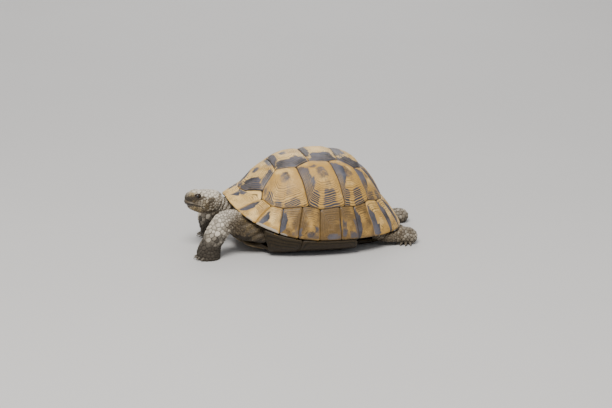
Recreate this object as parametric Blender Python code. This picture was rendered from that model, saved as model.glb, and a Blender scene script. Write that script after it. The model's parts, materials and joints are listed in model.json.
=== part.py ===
"""A spur-thighed tortoise in mid stride, life size: every shell scute, the flesh between them, and both eyes.

Lengths are millimetres until new_object() turns them into metres. +X runs from head to tail, the animal's
left side is at -Y, and +Z is up. The shell is worked out level, in a frame of its own (s towards the tail,
w to the left, h above the flat of the plastron), and shell_to_world() then tips it nose up and lifts it.
"""

import math

import bmesh
import bpy
import numpy as np
from mathutils import Matrix, Vector

MM = 0.001

# Stance
NOSE_UP_DEG = 1.5
SHELL_LIFT = 2.5
ORIGIN = (-10.03, 0.0)  # world point, before the shift, that ends up at x = 0, y = 0

# Carapace: the dome down to the marginal scutes, then the marginals down to the free rim.
# Each size is given at the head end, at the flanks and at the tail end.
APEX_S = 8.0
APEX_H = 95.5
DOME_REACH = {"head": 80.0, "flank": 61.0, "tail": 74.0}
RIM_REACH = {"head": 97.0, "flank": 71.0, "tail": 96.0}
DOME_ROUNDNESS = {"head": 2.3, "tail": 2.2}
RIM_ROUNDNESS = {"head": 2.4, "tail": 2.12}
DOME_FOOT_H = (60.0, 50.0, 46.0)
RIM_H = (51.0, 16.0, 15.0)
DOME_FOOT_SLOPE = (36.0, 70.0, 50.0)
RIM_SLOPE = (30.0, 88.0, 60.0)
CROWN_FLATNESS = (0.66, 0.57, 0.62)
SHOULDER_FULLNESS = (0.40, 0.37, 0.28)
ROUND_FADE = 2.5

SCUTE_THICKNESS = 4.0
RIM_THICKNESS = 3.2
SEAM_GAP = 0.6
SCUTE_SWELL = {"vertebral": 2.6, "costal": 1.6, "marginal": 0.7, "nuchal": 0.4, "plastron": 0.3}
SEAM_DIP = 0.3
BACK_SHARES = (0.5, 1.0)

# Where seams meet: share of the way down the dome (1 is its foot, 2 the rim), degrees round from the tail.
JOINTS = {
    "nuchal_v1": (1.10, 175.5),
    "v1_c1": (0.916, 147.0),
    "v12": (0.604, 150.0),
    "c12_top": (0.469, 128.7),
    "v23": (0.308, 119.0),
    "c23_top": (0.308, 89.5),
    "v34": (0.300, 69.0),
    "c34_top": (0.477, 49.7),
    "v45": (0.502, 27.3),
    "v5_c4": (0.985, 24.0),
    "v5_tail": (1.000, 9.5),
    "m12": (1.009, 142.8),
    "m23": (1.165, 133.7),
    "m34": (1.150, 125.1),
    "m45": (1.017, 112.2),
    "c12_foot": (0.990, 108.2),
    "m56": (1.077, 100.3),
    "m67": (1.021, 85.7),
    "c23_foot": (1.000, 80.8),
    "m78": (1.035, 72.2),
    "m89": (0.975, 58.2),
    "c34_foot": (0.956, 53.6),
    "m910": (0.981, 41.4),
    "m1011": (0.990, 28.0),
}
RIM_SEAMS = {
    "nuchal_v1": 176.2,
    "m12": 154.4,
    "m23": 138.5,
    "m34": 123.0,
    "m45": 112.2,
    "m56": 99.9,
    "m67": 86.6,
    "m78": 73.6,
    "m89": 60.9,
    "m910": 43.0,
    "m1011": 27.0,
    "v5_tail": 10.0,
}
VERTEBRALS = (
    ("nuchal_v1", "v1_c1", "v12"),
    ("v12", "c12_top", "v23"),
    ("v23", "c23_top", "v34"),
    ("v34", "c34_top", "v45"),
    ("v45", "v5_c4", "v5_tail"),
)
COSTALS = (
    ("v12", "v1_c1", "m12", "m23", "m34", "m45", "c12_foot", "c12_top"),
    ("v23", "c12_top", "c12_foot", "m56", "m67", "c23_foot", "c23_top"),
    ("v34", "c23_top", "c23_foot", "m78", "m89", "c34_foot", "c34_top"),
    ("v45", "c34_top", "c34_foot", "m910", "m1011", "v5_c4"),
)
MARGINALS = (
    ("nuchal_v1", "v1_c1", "m12"),
    ("m12", "m23"),
    ("m23", "m34"),
    ("m34", "m45"),
    ("m45", "c12_foot", "m56"),
    ("m56", "m67"),
    ("m67", "c23_foot", "m78"),
    ("m78", "m89"),
    ("m89", "c34_foot", "m910"),
    ("m910", "m1011"),
    ("m1011", "v5_c4", "v5_tail"),
)
# How far each growth centre sits from the scute's middle towards the crown, as a share.
COSTAL_CENTRE_RISE = 0.28

# Plastron, as a sheet bent up at its sides: s of each seam at the midline and at the lobe's or bridge's edge.
PLASTRON_TIPS = (-90.0, 79.0)
MIDLINE_SEAMS = (-90.0, -72.0, -50.0, -38.0, 20.0, 46.0, 70.0)
EDGE_SEAMS = (-90.0, -83.0, -57.0, -28.0, 34.0, 58.0, 79.0)
PLASTRON_PLATES = ("gular", "humeral", "pectoral", "abdominal", "femoral", "anal")
LOBE_HALF_WIDTH = 42.0
FRONT_LOBE = {"start": -57.0, "length": 33.0, "narrowing": 27.0, "power": 2.2}
REAR_LOBE = {"start": 34.0, "length": 45.0, "narrowing": 20.0, "power": 2.0}
BRIDGE = {"front": -57.0, "rear": 34.0, "lean": 11.0, "fade": 9.0, "bend_start": 41.0, "sheet_edge": 80.0}
LIP = {"start": 30.0, "front_rise": 8.0, "rear_rise": 3.0, "spread": 12.0, "reach": 14.0}
TIP_RISE = {"front": (-55.0, 35.0, 9.0), "rear": (45.0, 35.0, 5.0)}
CHEST_SAG = {"s": -46.0, "spread": 24.0, "depth": 1.6}
PLASTRON_THICKNESS = 3.5

# Trunk, the flesh inside the shell
TRUNK_COLUMNS = 30
TRUNK_INSET = SCUTE_THICKNESS + 1.2
TRUNK_REACH = {"flank": 1.86, "opening": 1.42}
TRUNK_FLOOR_SHARES = (0.60, 0.30)
FLESH_GAP = 0.35

# Limbs: each row is the middle of a section (x, w, z) and its half depth along and across the body.
LEFT_FORELEG = (
    (-44, 22, 27, 11.0, 10.0),
    (-61, 30, 25.5, 12.5, 13.0),
    (-76, 33, 26.5, 13.0, 13.5),
    (-87, 33.5, 29.6, 12.0, 11.6),
    (-95, 34.5, 37.0, 12.5, 11.3),
    (-102.5, 37.2, 37.0, 12.5, 11.5),
    (-109, 40, 32.5, 12.0, 11.0),
    (-114.5, 41.5, 25, 11.5, 10.5),
    (-119, 41, 16, 11.0, 10.5),
    (-121.5, 40, 7.5, 12.5, 12.0),
    (-122, 40, -1.5, 12.5, 12.5),
)
RIGHT_FORELEG = (
    (-44, -22, 27, 11.0, 10.0),
    (-61, -30, 25, 12.5, 13.0),
    (-75, -33, 26.5, 13.0, 14.0),
    (-86, -34, 29.5, 12.5, 12.5),
    (-95, -36, 33, 12.0, 11.5),
    (-101, -39, 29, 12.5, 11.5),
    (-104, -40, 21.5, 11.5, 10.5),
    (-102.5, -40, 12.5, 11.0, 10.5),
    (-100, -39.5, 5, 12.5, 12.5),
    (-99.5, -39.5, -1.5, 12.0, 12.0),
)
LEFT_HIND_LEG = (
    (40, 31, 30, 13.0, 12.0),
    (54, 37, 22, 11.5, 11.5),
    (65, 40, 12.7, 7.7, 10.5),
    (74, 40.5, 8.9, 5.8, 10.5),
    (83.5, 40, 8.2, 5.6, 10.5),
    (91, 40.5, 9.2, 9.0, 10.5),
    (97, 40.5, 7.8, 8.8, 10.5),
    (101.5, 40.5, 6.4, 7.0, 9.0),
    (104.2, 40.5, 5.6, 4.0, 5.5),
)
RIGHT_HIND_LEG = (
    (40, -31, 30, 13.0, 12.0),
    (56, -37, 20, 11.0, 11.0),
    (68, -39.5, 11.3, 7.1, 10.5),
    (78, -40, 8.1, 5.7, 10.5),
    (90, -39.5, 7.6, 6.0, 10.5),
    (103, -39, 7.4, 7.4, 11.0),
    (111, -38.5, 7.0, 8.0, 10.5),
    (116, -38.5, 6.0, 6.6, 9.0),
    (118.7, -38.5, 5.2, 4.0, 5.5),
)
TAIL = (
    (68, 0, 20, 9.0, 10.0),
    (80, 0, 14.5, 6.5, 7.5),
    (89, 0.5, 9.5, 5.0, 6.0),
    (96, 1, 7.0, 3.8, 4.6),
    (102.5, 1.5, 5.5, 2.0, 2.4),
)
LIMB_SIDES = 12
CLAW = {"length": 9.0, "root": 2.3, "tip": 0.7, "sides": 8, "sink": 4.5, "fan": 0.7}
# Each foot: the middle of its claw ring, how far out the ring is, and each claw's bearing (180 is forwards).
FEET = {
    "foreleg_left": (LEFT_FORELEG, (-121.0, 40.0, 3.6), 11.5, (128, 154, 180, 206, 232)),
    "foreleg_right": (RIGHT_FORELEG, (-100.5, -39.5, 3.6), 11.5, (128, 154, 180, 206, 232)),
    "hind_leg_left": (LEFT_HIND_LEG, (94.0, 41.0, 3.4), 9.0, (80, 110, 140, 170)),
    "hind_leg_right": (RIGHT_HIND_LEG, (108.0, -39.5, 3.4), 9.0, (80, 110, 140, 170)),
}

# Head, snout to nape: x, lowest and highest point, half width, squareness of the section.
HEAD = (
    (-138.2, 49.8, 57.4, 3.6, 2.3),
    (-137.0, 47.0, 59.6, 5.8, 2.4),
    (-134.5, 44.2, 61.3, 7.6, 2.6),
    (-130.5, 42.0, 62.2, 9.3, 2.8),
    (-126.0, 39.9, 62.8, 10.7, 2.9),
    (-120.0, 37.9, 63.1, 12.3, 2.8),
    (-114.0, 37.2, 63.2, 12.9, 2.6),
    (-108.5, 38.0, 62.6, 12.4, 2.4),
    (-104.0, 39.4, 61.4, 11.6, 2.2),
)
NECK = (
    (-103.65, 39.3, 61.3, 11.6, 2.2),
    (-100.0, 37.4, 59.0, 11.3, 2.1),
    (-96.6, 36.0, 52.4, 11.3, 2.1),
    (-91.0, 34.2, 51.6, 11.7, 2.1),
    (-83.0, 31.0, 51.6, 12.4, 2.0),
    (-64.0, 26.0, 51.0, 13.0, 2.0),
)
HEAD_SIDES = 16
EYE = {"x": -125.5, "w": 6.9, "z": 59.0, "radius": 3.2}
MOUTH_LINE = ((-145.0, 51.0), (-130.5, 50.4), (-124.0, 48.2), (-117.5, 46.0))
MOUTH_GAP = 0.35

COLOURS = {
    "shell": (0.62, 0.47, 0.22),
    "plastron": (0.45, 0.38, 0.22),
    "skin": (0.36, 0.32, 0.24),
    "eye": (0.02, 0.015, 0.01),
}


# ---------------------------------------------------------------- shell surfaces


def round_the_shell(sizes, angle):
    """A size at each angle round the shell, eased between its head, flank and tail values."""
    head, flank, tail = sizes
    towards_tail = np.clip(np.cos(angle), 0, 1) ** ROUND_FADE
    towards_head = np.clip(-np.cos(angle), 0, 1) ** ROUND_FADE
    return flank + (head - flank) * towards_head + (tail - flank) * towards_tail


def plan_outline(reach, roundness, angle):
    """A point of a rounded oval round the crown, seen from above."""
    c, s = np.cos(angle), np.sin(angle)
    power = np.where(c < 0, roundness["head"], roundness["tail"])
    size = (np.abs(c) ** power + np.abs(s) ** power) ** (-1 / power)
    along = np.where(c < 0, reach["head"] + APEX_S, reach["tail"] - APEX_S)
    return along * c * size, reach["flank"] * s * size


def carapace(u, v):
    """The shell's outer surface before any scute swells, as points (s, w, h).

    (u, v) is a map of the shell unrolled on a disc: radius 0 is the crown, 1 the foot of the dome
    and 2 the rim.
    """
    u, v = np.asarray(u, float), np.asarray(v, float)
    down, angle = np.hypot(u, v), np.arctan2(v, u)
    foot_s, foot_w = plan_outline(DOME_REACH, DOME_ROUNDNESS, angle)
    rim_s, rim_w = plan_outline(RIM_REACH, RIM_ROUNDNESS, angle)
    foot_h, rim_h = round_the_shell(DOME_FOOT_H, angle), round_the_shell(RIM_H, angle)
    foot_slope = np.radians(round_the_shell(DOME_FOOT_SLOPE, angle))
    rim_slope = np.radians(round_the_shell(RIM_SLOPE, angle))
    reach = np.hypot(foot_s, foot_w)
    out_s, out_w = foot_s / reach, foot_w / reach

    # The dome is a cubic curve from a level crown to the foot's slope.
    a = np.clip(down, 0, 1)
    chord = np.hypot(reach, APEX_H - foot_h)
    pull = round_the_shell(SHOULDER_FULLNESS, angle) * chord
    far_r, far_h = reach - pull * np.cos(foot_slope), foot_h + pull * np.sin(foot_slope)
    near_r = round_the_shell(CROWN_FLATNESS, angle) * reach
    b0, b1, b2, b3 = (1 - a) ** 3, 3 * (1 - a) ** 2 * a, 3 * (1 - a) * a**2, a**3
    dome_r = b1 * near_r + b2 * far_r + b3 * reach
    dome_h = (b0 + b1) * APEX_H + b2 * far_h + b3 * foot_h

    # The marginals are a Hermite curve from the foot's slope to the rim's.
    m = np.clip(down - 1, 0, 1)
    span = np.sqrt((rim_s - foot_s) ** 2 + (rim_w - foot_w) ** 2 + (rim_h - foot_h) ** 2)
    h0, h1 = 2 * m**3 - 3 * m**2 + 1, m**3 - 2 * m**2 + m
    h2, h3 = 3 * m**2 - 2 * m**3, m**3 - m**2
    level = span * (h1 * np.cos(foot_slope) + h3 * np.cos(rim_slope))
    fall = span * (h1 * np.sin(foot_slope) + h3 * np.sin(rim_slope))
    below = down > 1
    s = np.where(below, h0 * foot_s + h2 * rim_s + level * out_s, out_s * dome_r)
    w = np.where(below, h0 * foot_w + h2 * rim_w + level * out_w, out_w * dome_r)
    h = np.where(below, h0 * foot_h + h2 * rim_h - fall, dome_h)
    return np.stack([s + APEX_S, w, h], -1)


def on_disc(down, degrees, side=1):
    """A seam joint's place on the unrolled map, on the left side or mirrored."""
    return np.array([down * math.cos(math.radians(degrees)), side * down * math.sin(math.radians(degrees))])


def ease(x, low, high):
    t = np.clip((x - low) / (high - low), 0, 1)
    return t * t * (3 - 2 * t)


def outward(u, v, step=1e-3):
    """The carapace's unit normal at each map point, in the shell's frame."""
    across = carapace(u + step, v) - carapace(u - step, v)
    along = carapace(u, v + step) - carapace(u, v - step)
    normal = np.cross(across, along)
    return normal / np.maximum(np.linalg.norm(normal, axis=-1, keepdims=True), 1e-12)


def rim_underside():
    """The line under the rim, from head to tail, that the bridges reach up to."""
    angles = np.linspace(math.pi, 0, 181)
    u, v = 2 * np.cos(angles), 2 * np.sin(angles)
    line = carapace(u, v)
    tilt = np.clip(outward(u * 0.999, v * 0.999)[:, 2], 0, 1)
    line[:, 2] -= SEAM_GAP + RIM_THICKNESS * tilt
    return line


RIM_LINE = rim_underside()


def lobe_half_width(s):
    """The plastron's half width at s, leaving its bridges out."""
    ahead = np.clip((FRONT_LOBE["start"] - s) / FRONT_LOBE["length"], 0, 1) ** FRONT_LOBE["power"]
    behind = np.clip((s - REAR_LOBE["start"]) / REAR_LOBE["length"], 0, 1) ** REAR_LOBE["power"]
    return LOBE_HALF_WIDTH - FRONT_LOBE["narrowing"] * ahead - REAR_LOBE["narrowing"] * behind


def plastron(s, a):
    """The underside's outer surface as points (s, w, h); a is the distance from the midline along it."""
    s, a = np.asarray(s, float), np.asarray(a, float)
    out = np.abs(a)
    base = np.zeros_like(s)
    for sign, key in ((-1, "front"), (1, "rear")):
        start, length, rise = TIP_RISE[key]
        base = base + rise * np.clip(sign * (s - start) / length, 0, 2) ** 2
    base = base - CHEST_SAG["depth"] * np.exp(-(((s - CHEST_SAG["s"]) / CHEST_SAG["spread"]) ** 2))
    fade = BRIDGE["fade"]
    bend = BRIDGE["bend_start"]
    up = np.clip((out - bend) / (BRIDGE["sheet_edge"] - bend), 0, 1)
    front = BRIDGE["front"] - BRIDGE["lean"] * up
    bridged = ease(s, front - fade, front) * (1 - ease(s, BRIDGE["rear"], BRIDGE["rear"] + fade))
    rise = np.where(s < 0, LIP["front_rise"], LIP["rear_rise"])
    lip_h = rise * (np.clip(out - LIP["start"], 0, LIP["reach"]) / LIP["spread"]) ** 2
    top_w = np.interp(s, RIM_LINE[:, 0], RIM_LINE[:, 1])
    top_h = np.interp(s, RIM_LINE[:, 0], RIM_LINE[:, 2]) - base
    turn = up * math.pi / 2
    bridge_w = np.where(turn > 0, bend + (top_w - bend) * np.sin(turn), out)
    bridge_h = top_h * (1 - np.cos(turn))
    w = out + (bridge_w - out) * bridged
    h = base + lip_h + (bridge_h - lip_h) * bridged
    return np.stack([s, np.sign(a) * w, h], -1)


def downward(s, a, step=1e-2):
    """The plastron's unit normal, kept square to the body's length so that neighbours part cleanly."""
    run = plastron(s, a + step) - plastron(s, a - step)
    normal = np.stack([np.zeros_like(run[..., 0]), run[..., 2], -run[..., 1]], -1)
    return normal / np.linalg.norm(normal, axis=-1, keepdims=True)


def shell_to_world(points):
    """Shell points (s, w, h) as world points (x, y, z), tipped nose up and lifted."""
    tilt = math.radians(NOSE_UP_DEG)
    s, w, h = points[..., 0], points[..., 1], points[..., 2]
    x = s * math.cos(tilt) + h * math.sin(tilt)
    z = h * math.cos(tilt) - s * math.sin(tilt) + SHELL_LIFT
    return np.stack([x, -w, z], -1)


# ---------------------------------------------------------------- mesh helpers


def new_collection(name):
    collection = bpy.data.collections.new(name)
    bpy.context.scene.collection.children.link(collection)
    return collection


def new_material(name, colour, roughness):
    material = bpy.data.materials.new(name)
    material.use_nodes = True
    shader = material.node_tree.nodes["Principled BSDF"]
    shader.inputs["Base Color"].default_value = (*colour, 1)
    shader.inputs["Roughness"].default_value = roughness
    return material


def new_object(name, points, faces, collection, material=None):
    """A mesh object from world points in millimetres, with its faces turned outwards."""
    mesh = bpy.data.meshes.new(name)
    shift = Vector((ORIGIN[0], ORIGIN[1], 0))
    mesh.from_pydata([(Vector(p) - shift) * MM for p in points], [], faces)
    work = bmesh.new()
    work.from_mesh(mesh)
    bmesh.ops.recalc_face_normals(work, faces=work.faces)
    work.to_mesh(mesh)
    work.free()
    mesh.shade_smooth()
    obj = bpy.data.objects.new(name, mesh)
    collection.objects.link(obj)
    if material:
        mesh.materials.append(material)
    return obj


def hide(obj):
    """Marks a cutter or another helper, which isn't a node."""
    obj.hide_render = True
    obj.display_type = "WIRE"
    return obj


def boolean(obj, other, operation):
    modifier = obj.modifiers.new(f"{operation.lower()} {other.name}", "BOOLEAN")
    modifier.object = other
    modifier.operation = operation
    modifier.solver = "EXACT"
    modifier.use_self = operation == "UNION"


def ring_faces(rings, count, first, closed_start, closed_end):
    """Quads between rings of count points that start at index first, with fans to the two poles if given."""
    faces = []
    for r in range(rings - 1):
        for k in range(count):
            a, b = first + r * count + k, first + r * count + (k + 1) % count
            faces.append((a, b, b + count, a + count))
    if closed_start is not None:
        faces += [(closed_start, first + (k + 1) % count, first + k) for k in range(count)]
    if closed_end is not None:
        last = first + (rings - 1) * count
        faces += [(closed_end, last + k, last + (k + 1) % count) for k in range(count)]
    return faces


# ---------------------------------------------------------------- scutes


def subdivided(corners, surface, longest):
    """The outline's points, with each side cut into equal steps no longer than the given length."""
    points = []
    for here, there in zip(corners, corners[1:] + corners[:1]):
        length = np.linalg.norm(surface(*there) - surface(*here))
        steps = max(1, round(length / longest))
        points += [here + (there - here) * k / steps for k in range(steps)]
    return np.array(points)


def plate(name, outline, centre, surface, facing, swell, shares, thickness, collection, material):
    """One scute as a closed plate: rings from its growth centre to its seam, over a plain back."""
    count = len(outline)
    distance = np.linalg.norm(surface(outline[:, 0], outline[:, 1]) - surface(*centre), axis=1)
    shrink = (1 - (SEAM_GAP / 2) / distance)[:, None]

    def layer(levels, lift):
        rings = [centre[None]] + [centre + (outline - centre) * (level * shrink) for level in levels]
        map_points = np.concatenate(rings)
        u, v = map_points[:, 0], map_points[:, 1]
        level = np.repeat([0.0, *levels], [1] + [count] * len(levels))
        return surface(u, v) + facing(u, v) * lift(level)[:, None]

    front = layer(shares, lambda level: swell * (1 - level**2) - SEAM_DIP * level**8)
    back = layer(BACK_SHARES, lambda level: np.full_like(level, -thickness))
    faces = ring_faces(len(shares), count, 1, 0, None)
    shift = len(front)
    back_faces = ring_faces(len(BACK_SHARES), count, 1, 0, None)
    faces += [tuple(shift + k for k in reversed(face)) for face in back_faces]
    seam, back_seam = 1 + (len(shares) - 1) * count, shift + 1 + (len(BACK_SHARES) - 1) * count
    for k in range(count):
        after = (k + 1) % count
        faces.append((seam + k, seam + after, back_seam + after, back_seam + k))
    return new_object(name, shell_to_world(np.concatenate([front, back])), faces, collection, material)


def rim_arc(start, stop, side, steps):
    return [on_disc(2, start + (stop - start) * k / steps, side) for k in range(steps + 1)]


def both_sides(names):
    """A vertebral scute's corners: down the left side and back up the right."""
    left = [on_disc(*JOINTS[n]) for n in names]
    return left + [on_disc(*JOINTS[n], side=-1) for n in reversed(names)]


def build_carapace(collection, material):
    dome_shares = (0.35, 0.68, 0.88, 1.0)
    rim_shares = (0.7, 1.0)
    for number, names in enumerate(VERTEBRALS, 1):
        corners = both_sides(names)
        centre = np.mean(corners, axis=0)
        outline = subdivided(corners, carapace, 9.5)
        plate(f"vertebral_{number}", outline, centre, carapace, outward, SCUTE_SWELL["vertebral"],
              dome_shares, SCUTE_THICKNESS, collection, material)
    for side, word in ((1, "left"), (-1, "right")):
        for number, names in enumerate(COSTALS, 1):
            corners = [on_disc(*JOINTS[n], side) for n in names]
            centre = np.mean(corners, axis=0) * (1 - COSTAL_CENTRE_RISE)
            outline = subdivided(corners, carapace, 10.5)
            plate(f"costal_{word}_{number}", outline, centre, carapace, outward, SCUTE_SWELL["costal"],
                  dome_shares, SCUTE_THICKNESS, collection, material)
        for number, names in enumerate(MARGINALS, 1):
            corners = [on_disc(*JOINTS[n], side) for n in names]
            corners += rim_arc(RIM_SEAMS[names[-1]], RIM_SEAMS[names[0]], side, 2)
            outline = subdivided(corners, carapace, 12.0)
            plate(f"marginal_{word}_{number:02d}", outline, np.mean(corners, axis=0), carapace, outward,
                  SCUTE_SWELL["marginal"], rim_shares, RIM_THICKNESS, collection, material)
    for name, joint in (("nuchal", "nuchal_v1"), ("supracaudal", "v5_tail")):
        corners = [on_disc(*JOINTS[joint], side=-1), on_disc(*JOINTS[joint])]
        edge = RIM_SEAMS[joint]
        other = 360 - edge if edge > 90 else -edge
        corners += rim_arc(edge, other, 1, 2)
        outline = subdivided(corners, carapace, 10.0)
        plate(name, outline, np.mean(corners, axis=0), carapace, outward, SCUTE_SWELL["nuchal"],
              rim_shares, RIM_THICKNESS, collection, material)


def plastron_corners(number):
    """One plate's corners on the bent sheet, left side: midline, front seam, outer edge, back seam."""
    mid_a, mid_b = MIDLINE_SEAMS[number : number + 2]
    edge_a, edge_b = EDGE_SEAMS[number : number + 2]
    reach = BRIDGE["sheet_edge"]
    if PLASTRON_PLATES[number] == "pectoral":
        outer = [(edge_a, LOBE_HALF_WIDTH), (edge_a - BRIDGE["lean"] + 1, reach), (edge_b, reach)]
    elif PLASTRON_PLATES[number] == "abdominal":
        outer = [(edge_a, reach), (edge_b - 3, reach), (edge_b, LOBE_HALF_WIDTH)]
    else:
        outer = [(s, float(lobe_half_width(s))) for s in np.linspace(edge_a, edge_b, 4)]
    return [(mid_a, 0.3), *outer, (mid_b, 0.3)]


def build_plastron(collection, material):
    for side, word in ((1, "left"), (-1, "right")):
        for number, name in enumerate(PLASTRON_PLATES):
            corners = [np.array((s, side * a)) for s, a in plastron_corners(number)]
            outline = subdivided(corners, plastron, 11.0)
            plate(f"{name}_{word}", outline, np.mean(corners, axis=0), plastron, downward,
                  SCUTE_SWELL["plastron"], (0.45, 0.8, 1.0), PLASTRON_THICKNESS, collection, material)


# ---------------------------------------------------------------- flesh


def superellipse(sides, power):
    """Unit points round a rounded square, anticlockwise."""
    angles = np.arange(sides) * 2 * math.pi / sides
    c, s = np.cos(angles), np.sin(angles)
    return np.stack([np.sign(c) * np.abs(c) ** (2 / power), np.sign(s) * np.abs(s) ** (2 / power)], -1)


def loft(name, rings, collection, material):
    """A closed body through rings of points, with a fan over each end."""
    count = len(rings[0])
    points = [np.mean(rings[0], axis=0)] + [p for ring in rings for p in ring] + [np.mean(rings[-1], axis=0)]
    faces = ring_faces(len(rings), count, 1, 0, len(points) - 1)
    return new_object(name, points, faces, collection, material)


def tube_rings(rows, sides):
    """Rings square to a limb's path. A row's depths run along the body and across it."""
    middles = np.array([(x, -w, z) for x, w, z, *_ in rows], float)
    heading = np.gradient(middles, axis=0)
    heading /= np.linalg.norm(heading, axis=1, keepdims=True)
    circle = superellipse(sides, 2.0)
    rings = []
    for middle, ahead, (*_, depth, breadth) in zip(middles, heading, rows):
        across = np.array([0, 1, 0]) - ahead[1] * ahead
        across /= np.linalg.norm(across)
        up = np.cross(ahead, across)
        rings.append(middle + circle[:, :1] * across * breadth + circle[:, 1:] * up * depth)
    return rings


def upright_rings(rows, sides):
    """Rings across the head or neck, from x, lowest and highest point, half width and squareness."""
    rings = []
    for x, low, high, half_width, power in rows:
        shape = superellipse(sides, power)
        y, z = shape[:, 0] * half_width, (low + high) / 2 + shape[:, 1] * (high - low) / 2
        rings.append(np.stack([np.full(sides, x), y, z], -1))
    return rings


def trunk_columns(inset):
    """The trunk's surface as columns of points from the crown down to the floor, all round the shell."""
    columns = []
    for k in range(TRUNK_COLUMNS):
        angle = (k + 0.5) * 2 * math.pi / TRUNK_COLUMNS
        flank = float(ease(np.array(abs(math.degrees(angle) - 180) / 180), 0.33, 0.40)
                      * (1 - ease(np.array(abs(math.degrees(angle) - 180) / 180), 0.60, 0.68)))
        reach = TRUNK_REACH["opening"] + (TRUNK_REACH["flank"] - TRUNK_REACH["opening"]) * flank
        steps = reach * np.array([0.2, 0.4, 0.58, 0.74, 0.88, 1.0])
        u, v = steps * math.cos(angle), steps * math.sin(angle)
        column = list(carapace(u, v) - outward(u, v) * inset)
        edge = column[-1]
        floor_share = 0.84 - 0.04 * flank
        foot = floor_point(APEX_S + (edge[0] - APEX_S) * floor_share, edge[1] * floor_share, inset)
        wall = edge + (foot - edge) * 0.5
        wall[:2] += (np.array([APEX_S, 0]) - wall[:2]) * 0.10 * (1 - flank)
        column += [wall, foot]
        for share in TRUNK_FLOOR_SHARES:
            column.append(floor_point(APEX_S + (foot[0] - APEX_S) * share, foot[1] * share, inset))
        columns.append(column)
    return columns


def floor_point(s, w, inset):
    """A point of the trunk's underside, just above the plastron plates."""
    a = np.linspace(0, BRIDGE["sheet_edge"], 60)
    row = plastron(np.full(60, s), a)
    height = float(np.interp(abs(w) + inset * 0.8, row[:, 1], row[:, 2]))
    return np.array([s, w, height + inset + 0.4])


def build_trunk(collection, material, name, inset):
    columns = np.array(trunk_columns(inset))
    crown = carapace(np.array(1e-6), np.array(0.0)) - np.array([0, 0, inset])
    base = floor_point(APEX_S, 0.0, inset)
    rings = [columns[:, r] for r in range(columns.shape[1])]
    points = [crown] + [p for ring in rings for p in ring] + [base]
    faces = ring_faces(len(rings), TRUNK_COLUMNS, 1, 0, len(points) - 1)
    return new_object(name, shell_to_world(np.array(points)), faces, collection, material)


def claws(name, middle, radius, bearings, helpers):
    """The claws of one foot: cones that start inside the foot and fan out a little round its front."""
    work = bmesh.new()
    x, w, z = middle
    mirror = math.copysign(1, w)
    mean = sum(bearings) / len(bearings)
    for bearing in bearings:
        seat, aim = math.radians(bearing), math.radians(mean + (bearing - mean) * CLAW["fan"])
        root = Vector((x + (radius - CLAW["sink"]) * math.cos(seat),
                       -w - mirror * (radius - CLAW["sink"]) * math.sin(seat), z))
        out = Vector((math.cos(aim), -mirror * math.sin(aim), -0.16)).normalized()
        turned = out.to_track_quat("Z", "Y").to_matrix().to_4x4()
        place = Matrix.Translation(root + out * CLAW["length"] / 2) @ turned
        bmesh.ops.create_cone(work, cap_ends=True, segments=CLAW["sides"], radius1=CLAW["root"],
                              radius2=CLAW["tip"], depth=CLAW["length"], matrix=place)
    mesh = bpy.data.meshes.new(name)
    shift = Matrix.Scale(MM, 4) @ Matrix.Translation((-ORIGIN[0], -ORIGIN[1], 0))
    bmesh.ops.transform(work, matrix=shift, verts=work.verts)
    work.to_mesh(mesh)
    work.free()
    obj = bpy.data.objects.new(name, mesh)
    helpers.objects.link(obj)
    return hide(obj)


def build_flesh(collection, helpers, material):
    build_trunk(collection, material, "trunk", TRUNK_INSET)
    around_trunk = hide(build_trunk(helpers, None, "around_trunk", TRUNK_INSET))
    swollen = [v.co + v.normal * FLESH_GAP * 1.2 * MM for v in around_trunk.data.vertices]
    for vertex, place in zip(around_trunk.data.vertices, swollen):
        vertex.co = place
    ground = new_box("ground", (-200, -100, -60), (200, 100, 0), helpers)

    for name, (rows, middle, radius, bearings) in FEET.items():
        leg = loft(name, tube_rings(rows, LIMB_SIDES), collection, material)
        boolean(leg, claws(f"claws_{name}", middle, radius, bearings, helpers), "UNION")
        boolean(leg, around_trunk, "DIFFERENCE")
        boolean(leg, ground, "DIFFERENCE")
    tail = loft("tail", tube_rings(TAIL, 10), collection, material)
    boolean(tail, around_trunk, "DIFFERENCE")
    neck = loft("neck", upright_rings(NECK, HEAD_SIDES), collection, material)
    boolean(neck, around_trunk, "DIFFERENCE")


def new_box(name, low, high, helpers):
    """A helper block between two corners."""
    x, y, z = zip(low, high)
    points = [(x[i], y[j], z[k]) for i in (0, 1) for j in (0, 1) for k in (0, 1)]
    faces = [(0, 1, 3, 2), (4, 6, 7, 5), (0, 4, 5, 1), (2, 3, 7, 6), (0, 2, 6, 4), (1, 5, 7, 3)]
    return hide(new_object(name, points, faces, helpers))


def jaw_region(name, lift, helpers):
    """The space under the mouth line, as far back as the corner of the mouth, raised by lift."""
    line = [(x + (lift if k == len(MOUTH_LINE) - 1 else 0), z + lift) for k, (x, z) in enumerate(MOUTH_LINE)]
    side_view = [*line, (line[-1][0] - 3.0, 30.0), (line[0][0], 30.0)]
    count = len(side_view)
    points = [(x, y, z) for y in (-16.0, 16.0) for x, z in side_view]
    faces = [tuple(range(count)), tuple(range(2 * count - 1, count - 1, -1))]
    faces += [(k, (k + 1) % count, (k + 1) % count + count, k + count) for k in range(count)]
    return hide(new_object(name, points, faces, helpers))


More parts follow.
